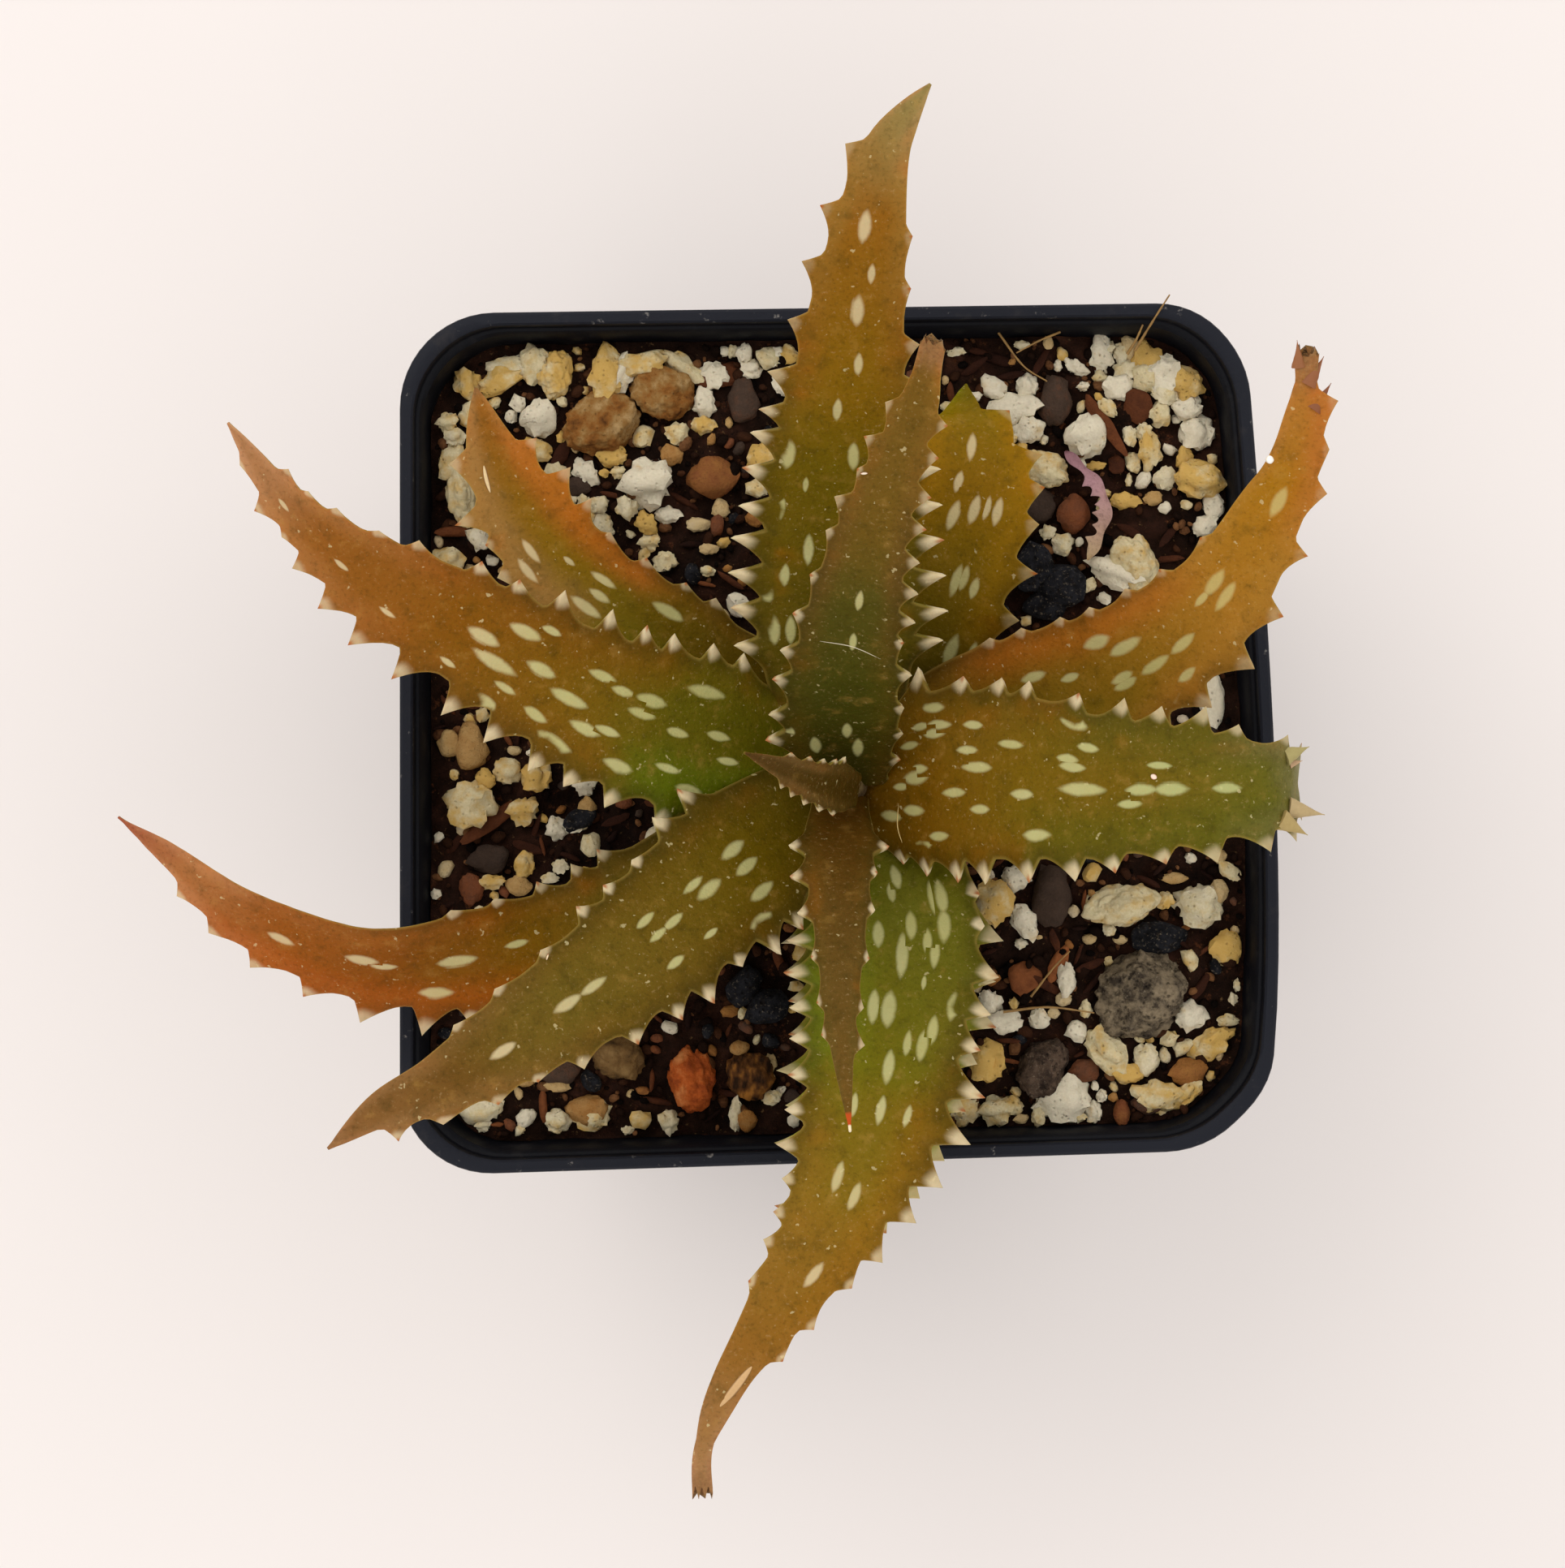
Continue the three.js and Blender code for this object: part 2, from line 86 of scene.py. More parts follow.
def pixelOf(point):
    # where the photograph shows a point given in mm
    step = pixelSize(point[2])
    across = (point[0] - cameraValues["over"][0]) / step + photoWidth / 2
    down = photoHeight / 2 - (point[1] - cameraValues["over"][1]) / step
    return Vector((across, down))


lightValues = {
    "sky": (1.0, 0.985, 0.975),
    "skyStrength": 0.98,
    "aim": (0, 0, 0.06),        # m
    "lamps": [
        # place in m, width in m, power in W, colour
        ((-0.42, 0.50, 0.85), 0.70, 2.7, (1.0, 0.97, 0.94)),
        ((0.55, 0.25, 0.70), 0.50, 0.5, (0.95, 0.97, 1.0)),
        ((-0.10, -0.60, 0.60), 0.50, 0.4, (1.0, 0.98, 0.96)),
    ],
}


def addLight(values):
    world = bpy.data.worlds.new("studio")
    world.use_nodes = True
    background = world.node_tree.nodes["Background"]
    background.inputs["Color"].default_value = (*values["sky"], 1)
    background.inputs["Strength"].default_value = values["skyStrength"]
    bpy.context.scene.world = world
    for place, width, power, tint in values["lamps"]:
        data = bpy.data.lights.new("softbox", "AREA")
        data.shape = "SQUARE"
        data.size = width
        data.energy = power
        data.color = tint
        lamp = bpy.data.objects.new("softbox", data)
        lamp.location = place
        aim = Vector(values["aim"]) - Vector(place)
        lamp.rotation_euler = aim.to_track_quat("-Z", "Y").to_euler()
        bpy.context.collection.objects.link(lamp)
    bpy.context.scene.view_settings.view_transform = "Standard"


floorValues = {"size": 3, "tones": ("efe8e4", "eae2de"), "cloud": (120, 3)}     # size in m, cloud in mm


def addFloor(values):
    letGo()
    bpy.ops.mesh.primitive_plane_add(size=values["size"], location=(0, 0, 0))
    floor = bpy.context.object
    floor.name = "floor"
    finish = Finish("paleSurface")
    cloud = finish.speckle(*values["cloud"])
    colour = finish.mix(cloud, *values["tones"])
    floor.data.materials.append(finish.feed(Base_Color=colour, Roughness=0.75 + 0.1 * cloud))


# Shader maths: one wrapper for sockets, one maker for nodes

def tone(code):
    # a colour written as rrggbb, as light values
    parts = [int(code[i:i + 2], 16) / 255 for i in (0, 2, 4)]
    return tuple(p / 12.92 if p <= 0.04045 else ((p + 0.055) / 1.055) ** 2.4 for p in parts) + (1.0,)


class Wire:
    def __init__(self, maker, socket):
        self.maker = maker
        self.socket = socket

    def maths(self, operation, *terms):
        return self.maker.node("ShaderNodeMath", {"operation": operation}, dict(enumerate(terms)))

    def __add__(self, other):
        return self.maths("ADD", self, other)

    def __radd__(self, other):
        return self.maths("ADD", other, self)

    def __sub__(self, other):
        return self.maths("SUBTRACT", self, other)

    def __rsub__(self, other):
        return self.maths("SUBTRACT", other, self)

    def __mul__(self, other):
        return self.maths("MULTIPLY", self, other)

    def __rmul__(self, other):
        return self.maths("MULTIPLY", other, self)

    def __pow__(self, other):
        return self.maths("POWER", self, other)

    def size(self):
        return self.maths("ABSOLUTE", self)


class Finish:
    def __init__(self, name):
        self.material = bpy.data.materials.new(name)
        self.material.use_nodes = True
        self.tree = self.material.node_tree
        self.shader = self.tree.nodes["Principled BSDF"]
        self.where = self.node("ShaderNodeTexCoord", out="Object")

    def node(self, kind, settings=None, values=None, out=0):
        made = self.tree.nodes.new(kind)
        for key, setting in (settings or {}).items():
            if key == "stops":
                self.setStops(made.color_ramp, setting)
            else:
                setattr(made, key, setting)
        for key, value in (values or {}).items():
            if isinstance(value, Wire):
                self.tree.links.new(value.socket, made.inputs[key])
            else:
                made.inputs[key].default_value = value
        return Wire(self, made.outputs[out])

    def setStops(self, ramp, stops):
        while len(ramp.elements) < len(stops):
            ramp.elements.new(1.0)
        for element, (place, code) in zip(ramp.elements, stops):
            element.position = place
            element.color = tone(code)

    def speckle(self, size, detail=2.0, rough=0.5, where=None):
        # soft noise whose lumps are about this many mm wide
        values = {"Vector": where or self.where, "Scale": 1 / (size * mm)}
        values.update({"Detail": detail, "Roughness": rough})
        return self.node("ShaderNodeTexNoise", {}, values, "Fac")

    def pits(self, size):
        # distance from the nearest of many pits about this many mm apart
        values = {"Vector": self.where, "Scale": 1 / (size * mm)}
        return self.node("ShaderNodeTexVoronoi", {}, values, "Distance")

    def step(self, value, low, high):
        # 0 up to low and 1 from high on, or the other way round where low is the larger
        values = {"Value": value, "From Min": low, "From Max": high}
        return self.node("ShaderNodeMapRange", {"interpolation_type": "SMOOTHSTEP"}, values)

    def ramp(self, value, *stops):
        return self.node("ShaderNodeValToRGB", {"stops": stops}, {"Fac": value})

    def mix(self, share, first, second):
        settings = {"data_type": "RGBA", "blend_type": "MIX"}
        first = tone(first) if isinstance(first, str) else first
        second = tone(second) if isinstance(second, str) else second
        return self.node("ShaderNodeMix", settings, {0: share, 6: first, 7: second}, 2)

    def over(self, colour, shade, share, value, low, high):
        # lays this share of a shade over the colour where the value runs from low to high
        return self.mix(self.step(value, low, high) * share, colour, shade)

    def parts(self, vector):
        split = self.node("ShaderNodeSeparateXYZ", {}, {"Vector": vector}).socket.node
        return [Wire(self, split.outputs[i]) for i in range(3)]

    def trait(self, name, out="Vector"):
        return self.node("ShaderNodeAttribute", {"attribute_name": name}, {}, out)

    def feed(self, **sockets):
        for name, value in sockets.items():
            socket = self.shader.inputs[name.replace("_", " ")]
            if isinstance(value, Wire):
                self.tree.links.new(value.socket, socket)
            else:
                socket.default_value = value
        return self.material

    def coat(self, colour, rough, bumps, relief, **sockets):
        # the shader's colour and roughness, and bumps with a strength and a depth in mm
        strength, depth = relief
        values = {"Strength": strength, "Distance": depth * mm, "Height": bumps}
        normal = self.node("ShaderNodeBump", {}, values)
        return self.feed(Base_Color=colour, Roughness=rough, Normal=normal, **sockets)


def evenSkin(name, skin):
    # a finish from one dictionary: the first noise picks the tones, alone or added to a trait of the piece
    finish = Finish(name)
    noises = {key: finish.speckle(*values) for key, values in skin["noises"].items()}
    place = next(iter(noises.values()))
    if "trait" in skin:
        place = finish.trait(skin["trait"], "Fac") + skin["sway"] * (place - 0.5)
    colour = finish.ramp(place, *skin["tones"])
    for key, low, high, share, shade in skin["over"]:
        colour = finish.over(colour, shade, share, noises[key], low, high)
    bumps = sum(share * noises[key] for key, share in skin["bumps"].items())
    key, least, more = skin["rough"]
    rough = least + more * noises[key]
    return finish.coat(colour, rough, bumps, skin["relief"], Specular_IOR_Level=skin["gloss"])


# Modelling helpers

def letGo():
    if bpy.context.object and bpy.context.object.mode != "OBJECT":
        bpy.ops.object.mode_set(mode="OBJECT")
    bpy.ops.object.select_all(action="DESELECT")


def hold(piece):
    letGo()
    piece.select_set(True)
    bpy.context.view_layer.objects.active = piece


def closeUp(piece):
    # merges what meets, fills the open ends and turns the faces outward
    hold(piece)
    bpy.ops.object.mode_set(mode="EDIT")
    bpy.ops.mesh.select_all(action="SELECT")
    bpy.ops.mesh.remove_doubles(threshold=0.000001)
    bpy.ops.mesh.fill_holes(sides=0)
    bpy.ops.mesh.select_all(action="SELECT")
    bpy.ops.mesh.normals_make_consistent(inside=False)
    bpy.ops.object.mode_set(mode="OBJECT")


def smoothed(piece, angle):
    hold(piece)
    bpy.ops.object.shade_smooth_by_angle(angle=math.radians(angle))


def dress(piece, material, slot, *nodes):
    piece.data.materials.clear()
    piece.data.materials.append(material)
    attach(piece, "root")
    if nodes:
        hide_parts(*nodes)


def keepTrait(piece, name, kind, values):
    # one value of this name for each vertex
    trait = piece.data.attributes.new(name, kind, "POINT")
    trait.data.foreach_set("value" if kind == "FLOAT" else "vector", values)


def wrappedTube(name, rows, columns, place):
    # a grid rolled into a tube; place(row, column) gives each point in mm
    letGo()
    bpy.ops.mesh.primitive_grid_add(x_subdivisions=columns, y_subdivisions=rows - 1, size=2)
    piece = bpy.context.object
    piece.name = name
    seats = []
    for vertex in piece.data.vertices:
        column = round((vertex.co.x + 1) / 2 * columns) % columns
        row = round((vertex.co.y + 1) / 2 * (rows - 1))
        seats.append((row, column))
        vertex.co = place(row, column) * mm
    return piece, seats


tubeSmooth = 50     # degrees; sharper edges of tubes and leaves stay sharp


def finishTube(tube, material, slot, *nodes):
    closeUp(tube)
    smoothed(tube, tubeSmooth)
    dress(tube, material, slot, *nodes)


def routedTube(name, route, rows, columns, section):
    # a tube along a route; section(share, angle) gives its half width and half height in mm
    def place(row, column):
        share = row / (rows - 1)
        angle = 2 * math.pi * column / columns
        along, across, up = route.axes(share * route.length)
        half, high = section(share, angle)
        return route.at(share * route.length) + across * math.cos(angle) * half + up * math.sin(angle) * high

    return wrappedTube(name, rows, columns, place)


def ease(value, low, high):
    t = min(max((value - low) / (high - low), 0.0), 1.0)
    return t * t * (3 - 2 * t)


def blend(first, second, share):
    return first + (second - first) * share


def grownTo(point, half):
    # a point of a stone of half size 1, in mm
    return Vector((point.x * half[0], point.y * half[1], point.z * half[2]))


# Pot: thin black plastic, tapering down, with a stepped lip and a rim slightly out of square

potValues = {
    "height": 60.0, "rimWidth": 62.3, "baseWidth": 47.0, "wall": 0.9, "floor": 1.4,
    "roundness": 0.22, "lipHeight": 3.2, "lipOverhang": 0.5, "stepDepth": 1.0, "stepWidth": 0.35,
    "bow": 1.5, "bowPeak": 0.6, "skew": 0.75, "lean": -0.65, "slope": 0.023, "pinch": 0.009,
    "cornerSteps": 12, "sideSteps": 14, "outsideLevels": (1.2, 20, 40), "insideLevels": (58.7, 56, 30),
    "holeRadius": 3.2, "holeOffset": 14.5, "holeSides": 40, "cutDepth": 6,
    "slotWidth": 2.6, "slotLength": 9.0, "slotOffset": 17.5, "smooth": 35, "shineDepth": 0.6,
    # lip is the lighter tone of a painted sheen on the top of the rim; dust and scuff are real marks
    "dark": "0a0a0e", "light": "14151b", "lip": "24262f", "dust": "57504a", "scuff": "8f8a84",
    # each bend, as width and height in mm from the corner that it rounds
    "footBend": [(-1.2, 0), (-0.2, 0.35)],
    "wallBend": [(-0.02, -0.25)],
    "lipBend": [(-0.4, 0), (0, 0.3)],
    "rimBend": [(0, -0.45), (-0.14, -0.14), (-0.5, 0)],
    "innerRimBend": [(0.42, 0), (0.12, -0.12), (0, -0.4)],
    "ledgeBend": [(-0.02, 0.16), (-0.2, 0)],
    "innerLedgeBend": [(0.1, -0.04)],
    "floorBend": [(0, 0.6), (-1.2, 0)],
}


def potWidthAt(z):
    return blend(potValues["baseWidth"], potValues["rimWidth"], z / potValues["height"])


def bowAt(y):
    # share of the right side's bow at y, from -1 to 1 along that side
    straight = 1 - potValues["roundness"] / 3
    if abs(y) >= straight:
        return 0.0
    peak = potValues["bowPeak"]
    lead = straight - peak
    t = (math.sqrt(lead * lead + 2 * peak * (y + straight)) - lead) / (2 * peak)
    return 4 * t * (1 - t)


def potPoint(x, y, width, z):
    # x and y run from -1 to 1 across the pot; the answer is out of square as the pot is
    rise = z / potValues["height"]
    bulge = bowAt(y) * potValues["bow"] - y * potValues["skew"]
    across = x * width / 2 + bulge * rise * max(x, 0) ** 3
    down = y * width / 2 + (potValues["slope"] - potValues["pinch"] * y) * across * rise
    return Vector((across + potValues["lean"] * rise, down, z))


def potOutline():
    # a square with rounded corners, from -1 to 1, against the clock from the right side
    radius = potValues["roundness"]
    straight = 1 - radius
    points = []
    for corner in range(4):
        turn = corner * math.pi / 2
        out = Vector((math.cos(turn), math.sin(turn)))
        along = Vector((-out.y, out.x))
        for i in range(potValues["sideSteps"]):
            points.append(out + along * straight * (2 * i / potValues["sideSteps"] - 1))
        middle = (out + along) * straight
        for i in range(potValues["cornerSteps"]):
            angle = turn + (math.pi / 2) * i / potValues["cornerSteps"]
            points.append(middle + radius * Vector((math.cos(angle), math.sin(angle))))
    return points


def potLevels():
    # width and height of each level, from the foot up the outside, over the lip and down the inside
    values = potValues
    top = values["height"]
    foot = top - values["lipHeight"]
    ledge = top - values["stepDepth"]
    twice = 2 * values["wall"]
    lip = 2 * values["lipOverhang"]
    step = values["rimWidth"] - twice + 2 * values["stepWidth"]
    inside = potWidthAt(values["floor"] + 0.6) - twice
    levels = []

    def bend(name, width, z):
        levels.extend((width + wider, z + higher) for wider, higher in values[name])

    bend("footBend", values["baseWidth"], 0)
    levels += [(potWidthAt(z), z) for z in values["outsideLevels"]]
    bend("wallBend", potWidthAt(foot), foot)
    bend("lipBend", potWidthAt(foot) + lip, foot)
    bend("rimBend", values["rimWidth"] + lip, top)
    bend("innerRimBend", step, top)
    bend("ledgeBend", step, ledge)
    bend("innerLedgeBend", step - 2 * values["stepWidth"], ledge)
    levels += [(potWidthAt(z) - twice, z) for z in values["insideLevels"]]
    bend("floorBend", inside, values["floor"])
    return levels


def potMaterial():
    finish = Finish("potPlastic")
    values = potValues
    grain = finish.speckle(0.35, 3)
    cloud = finish.speckle(9, 4)
    dust = finish.step(finish.speckle(3.5, 8, 0.65), 0.55, 0.78)
    scuff = finish.step(finish.speckle(1.1, 5, 0.7), 0.62, 0.72)
    height = finish.parts(finish.where)[2]
    onLip = finish.step(height, (values["height"] - values["shineDepth"]) * mm, values["height"] * mm)
    base = finish.mix(cloud, values["dark"], values["light"])
    # painted sheen: the top of the rim, down by shineDepth, turns lighter in the lip tone; the scuffs laid
    # over it are real wear
    base = finish.mix(onLip * 0.5, base, values["lip"])
    base = finish.mix(dust * 0.22, base, values["dust"])
    base = finish.mix(scuff * onLip * 0.6, base, values["scuff"])
    rough = 0.42 + 0.18 * cloud + 0.2 * dust
    return finish.coat(base, rough, grain, (0.3, 0.12), Specular_IOR_Level=0.12)


def cutThrough(piece, cutter):
    hold(piece)
    cut = piece.modifiers.new("cut", "BOOLEAN")
    cut.operation = "DIFFERENCE"
    cut.solver = "EXACT"
    cut.object = cutter
    bpy.ops.object.modifier_apply(modifier=cut.name)
    bpy.data.objects.remove(cutter)


def buildPot(values):
    levels = potLevels()
    outline = potOutline()
    letGo()
    bpy.ops.mesh.primitive_circle_add(vertices=len(outline), radius=20 * mm, fill_type="NOTHING")
    pot = bpy.context.object
    pot.name = "potShell"
    bpy.ops.object.mode_set(mode="EDIT")
    for _ in levels[1:]:
        bpy.ops.mesh.extrude_region_move(TRANSFORM_OT_translate={"value": (0, 0, mm)})
    bpy.ops.object.mode_set(mode="OBJECT")
    for vertex in pot.data.vertices:
        angle = math.atan2(vertex.co.y, vertex.co.x) % (2 * math.pi)
        index = round(angle / (2 * math.pi) * len(outline)) % len(outline)
        width, z = levels[round(vertex.co.z / mm)]
        vertex.co = potPoint(*outline[index], width, z) * mm
    closeUp(pot)
    for corner in range(4):
        turn = corner * math.pi / 2
        place = Vector((values["holeOffset"], values["holeOffset"])) * mm
        place.rotate(Matrix.Rotation(turn, 2))
        letGo()
        bpy.ops.mesh.primitive_cylinder_add(
            vertices=values["holeSides"], radius=values["holeRadius"] * mm,
            depth=values["cutDepth"] * mm, location=(*place, 0))
        cutThrough(pot, bpy.context.object)
        place = Vector((values["slotOffset"], 0)) * mm
        place.rotate(Matrix.Rotation(turn, 2))
        letGo()
        bpy.ops.mesh.primitive_cube_add(size=mm, location=(*place, 0), rotation=(0, 0, turn))
        bpy.context.object.scale = (values["slotWidth"], values["slotLength"], values["cutDepth"])
        cutThrough(pot, bpy.context.object)
    smoothed(pot, values["smooth"])
    dress(pot, potMaterial(), "pot_plastic", "pot")


# Leaves. Size, spine and taper are those of the solids. Teeth and flecks are places read off the
# photograph in pixels, a fleck with its size where that isn't 1. Tones run from the crown to the tip.

leaves = {
    "leaf_new": {
        "width": 3.4, "thickness": 1.6, "channel": 0.35, "taper": (1.6, 0.8),
        "stretch": (0.25, 0.8), "tooth": 0.6, "pitch": 1.9,
        "spine": [(1, -4, 70), (-1.5, -3.5, 77), (-4, -2.5, 82), (-6.5, -1.5, 85.5)],
        "middle": [(0, "43300c"), (0.6, "4b360f"), (1, "4f3715")],
        "edge": [(0, "4b380f"), (0.6, "694f29"), (1, "57401c")],
        "warm": 0.1,
        "teeth": [(969, 941), (993, 941), (1011, 945), (1037, 953)],
    },
    "leaf_young_bottom": {
        "width": 5.6, "thickness": 2.4, "channel": 0.2, "taper": (1.1, 0.85),
        "stretch": (0.15, 0.85), "tooth": 1.1,
        "spine": [(0.2, -5, 66), (0, -9.5, 74), (0, -15, 81), (0, -20.5, 87), (0.5, -26.5, 92)],
        "middle": [(0, "4e310c"), (0.3, "573c14"), (0.6, "5f471c"), (1, "664b1c")],
        "edge": [(0, "55390f"), (0.5, "60481b"), (1, "5b4a1c")],
        "warm": 0.2, "point": "b4502a",
        "teeth": [
            (1079, 1077), (1078, 1124), (1063, 1180), (1056, 1241),
            (973, 1085), (982, 1128), (999, 1183), (1010, 1236), (1017, 1275)],
    },
    "leaf_young_top": {
        "width": 8.2, "thickness": 2.6, "channel": 0.22, "taper": (1.5, 0.9),
        "stretch": (0.1, 0.9), "tooth": 1.3, "pitch": 2.7,
        "spine": [
            (0.5, -3, 66), (0.2, 1.5, 73.5), (0.8, 8, 82), (2.2, 14, 88.5), (4, 19.5, 93), (5.7, 25.6, 97)],
        "trim": [(0.6, 0, 0.1), (0.8, 0, 0.3), (0.9, 0, 0.9), (1, 0, 0.6)],
        "middle": [
            (0, "36300a"), (0.3, "42400e"), (0.5, "504712"), (0.65, "6a5019"), (0.9, "6c4f1a"),
            (1, "80592a")],
        "edge": [(0, "4a360e"), (0.3, "4a420f"), (0.55, "63481b"), (0.9, "76561f"), (1, "a06a30")],
        "dry": 0.95, "warm": 0.15, "tipHalf": 0.55, "torn": (0.9, 0.93), "pale": (0.6, 0.4),
        "flecks": [(1058, 739), (1052, 788), (973, 902), (1043, 899), (1057, 923), (1002, 920)],
        "teeth": [
            (1060, 580), (1018, 651), (998, 706), (977, 752), (961, 798), (947, 876), (943, 914),
            (1113, 790), (1113, 872), (1111, 906), (1109, 938), (1104, 963)],
    },
    "leaf_right": {
        "width": 12.0, "thickness": 3.2, "channel": 0.14, "taper": (2.0, 0.62),
        "stretch": (0.12, 0.97),
        "spine": [
            (1.5, -3.5, 63), (9, -3, 71), (18, -3.5, 78.5), (24.5, -3.5, 81.5), (29, -3.5, 81),
            (31.5, -3.5, 78), (32.3, -3.5, 73)],
        "trim": [(0.4, 0, 0), (0.55, -0.6, 0), (0.8, -0.75, -0.15), (0.9, -0.5, 0)],
        "casts": [
            (1, 0.4, 0.85, 0.5, "4e520c"), (-1, 0.45, 0.85, 0.4, "4f4c10"), (-1, 0.1, 0.4, 0.35, "6e5418")],
        "fleckTone": "b8ba7e",
        "middle": [
            (0, "5c3d0c"), (0.2, "724f12"), (0.4, "735914"), (0.6, "6a5411"), (0.8, "5f5a18"),
            (1, "857d52")],
        "edge": [(0, "5c400b"), (0.2, "704d12"), (0.45, "6c5411"), (0.7, "625414"), (1, "8f885e")],
        "warm": 0.25,
        "flecks": [
            (1152, 869), (1136, 895), (1156, 891), (1154, 906), (1200, 892), (1193, 925), (1121, 920),
            (1135, 943), (1128, 958), (1201, 946), (1112, 972), (1176, 974), (1127, 996), (1205, 1000),
            (1100, 1007), (1247, 912), (1322, 891), (1342, 919), (1313, 932), (1320, 944), (1260, 979),
            (1330, 975, 1.5), (1404, 973), (1439, 975), (1430, 943), (1390, 995), (1276, 1029),
            (1154, 1027), (1140, 1042), (1175, 1047), (1512, 972)],
        "teeth": [
            (1188, 833), (1234, 835), (1270, 839), (1332, 854), (1387, 860), (1431, 870), (1485, 870),
            (1529, 893), (1590, 906), (1567, 1049), (1110, 1065),
            (1138, 1080), (1180, 1088), (1215, 1090), (1269, 1088), (1324, 1086), (1376, 1076),
            (1437, 1065), (1499, 1063)],
    },
    "leaf_lower_left": {
        "width": 10.4, "thickness": 3.2, "taper": (1.7, 0.8),
        "stretch": (0.16, 0.93),
        "spine": [
            (-1.5, -4.5, 63), (-8.5, -10.5, 70), (-15.5, -16.5, 76), (-21.5, -20.5, 80),
            (-27.5, -24.2, 82), (-31.3, -25.8, 82.6), (-35, -28.5, 83)],
        "bare": (1, 0.8),
        "middle": [
            (0, "4f400c"), (0.2, "64500f"), (0.4, "685216"), (0.6, "665319"), (0.8, "66471a"),
            (1, "8a6038")],
        "edge": [(0, "4c3d0a"), (0.3, "5c460f"), (0.55, "644c14"), (0.8, "74552a"), (1, "946b45")],
        "dry": 0.97, "warm": 0.1,
        "flecks": [
            (903, 1048), (918, 1065), (855, 1088), (875, 1098), (939, 1100), (938, 1129), (798, 1134),
            (830, 1136), (812, 1153), (876, 1146, 0.7), (832, 1182), (734, 1216), (699, 1239), (618, 1295)],
        "teeth": [
            (780, 1060), (742, 1091), (707, 1119), (671, 1176), (613, 1226), (568, 1272), (520, 1315),
            (548, 1385), (613, 1362), (662, 1332), (719, 1318), (787, 1287), (841, 1257), (880, 1237),
            (914, 1192)],
    },
    "leaf_left": {
        "width": 10.6, "thickness": 3.2, "taper": (1.9, 0.75),
        "stretch": (0.2, 0.93),
        "spine": [
            (-1.5, -2, 61), (-7.5, -1, 65.5), (-17, 2, 71), (-24.5, 6, 75), (-31.5, 10.5, 77),
            (-37, 15, 78), (-42.5, 21.5, 78)],
        "trim": [
            (0.2, 0, 0.3), (0.35, -0.1, 0.1), (0.5, -0.6, 0), (0.6, -0.6, 0), (0.7, 0, -0.2),
            (0.8, 0.1, -0.3), (0.9, 0.1, -0.4), (1, 0, 0)],
        "roll": (0.6, 0.85, 42),
        "casts": [
            (-1, 0.0, 0.3, 0.5, "4c6a08"), (-1, 0.4, 0.62, 0.3, "7a5418"), (1, 0.3, 0.6, 0.3, "7a4c12")],
        "middle": [
            (0, "4a4808"), (0.25, "5f560f"), (0.42, "745412"), (0.6, "7c4d14"), (0.8, "8c5622"),
            (1, "ab7c55")],
        "edge": [
            (0, "5a5a14"), (0.25, "655210"), (0.45, "704c12"), (0.65, "854f1c"), (0.85, "a36d3c"),
            (1, "b58a66")],
        "warm": 0.2,
        "flecks": [
            (419, 694, 0.6), (479, 755, 0.6), (550, 817, 0.7), (596, 785), (647, 777, 1.3), (682, 775, 0.7),
            (608, 819, 1.5), (668, 822, 1.5), (627, 847), (598, 860), (697, 863, 1.4), (659, 878),
            (719, 897), (684, 914), (741, 836), (805, 862), (870, 850, 1.4), (790, 875), (760, 940),
            (820, 945), (885, 905), (900, 935), (850, 975), (905, 975), (750, 900), (770, 850), (835, 905),
            (720, 940), (351, 623, 0.5)],
        "teeth": [
            (302, 570), (339, 597), (372, 616), (403, 644), (465, 655), (515, 664), (593, 691), (641, 714),
            (694, 726), (754, 750), (798, 770), (830, 780), (878, 792), (921, 806), (346, 663), (357, 702),
            (389, 750), (431, 797), (488, 841), (544, 882), (595, 915), (647, 948), (691, 968)],
    },
    "leaf_top": {
        "width": 11.4, "thickness": 3.3, "taper": (1.5, 0.72),
        "stretch": (0.18, 0.95), "pitch": 2.7,
        "spine": [
            (0.5, -1.5, 61), (0, 6, 66), (0, 16.5, 73), (0.5, 25.5, 79), (1.5, 33.5, 84), (3, 40, 86.5),
            (6, 43.5, 87)],
        "trim": [(0.5, 0, 0), (0.6, -0.3, 0.2), (0.8, -0.35, 0.4), (0.93, -0.3, 0.55), (1, 0, 0)],
        "bare": (1, 0.82),
        "middle": [
            (0, "3f3a08"), (0.25, "5a4c10"), (0.45, "6a560f"), (0.6, "805c14"), (0.8, "8a5a1c"),
            (1, "8a7a48")],
        "edge": [
            (0, "454007"), (0.25, "645211"), (0.45, "6c560f"), (0.65, "855a1c"), (0.85, "90692e"),
            (1, "978254")],
        "warm": 0.4, "pale": (0.9, 0.2),
        "flecks": [
            (1064, 278), (1071, 338, 0.7), (1057, 381), (1054, 449), (976, 559), (1054, 565), (965, 626),
            (994, 678, 1.2), (968, 707), (948, 728), (957, 776), (976, 776), (1030, 505, 0.7),
            (990, 600, 0.6)],
        "teeth": [
            (1041, 178), (1011, 250), (988, 320), (970, 394), (946, 455), (935, 500), (924, 532),
            (914, 575), (910, 620), (900, 660), (894, 704), (900, 747), (904, 798), (1117, 218),
            (1117, 289), (1122, 357), (1133, 424), (1155, 532), (1161, 577), (1164, 620), (1166, 665),
            (1174, 708), (1175, 751), (1162, 792)],
    },
    "leaf_bottom": {
        "width": 11.8, "thickness": 3.3, "taper": (2.1, 1.15),
        "stretch": (0.15, 0.8),
        "spine": [
            (2, -4.5, 61), (4, -12.5, 67), (3.5, -20, 72), (1.5, -30, 77), (-1, -35.5, 79),
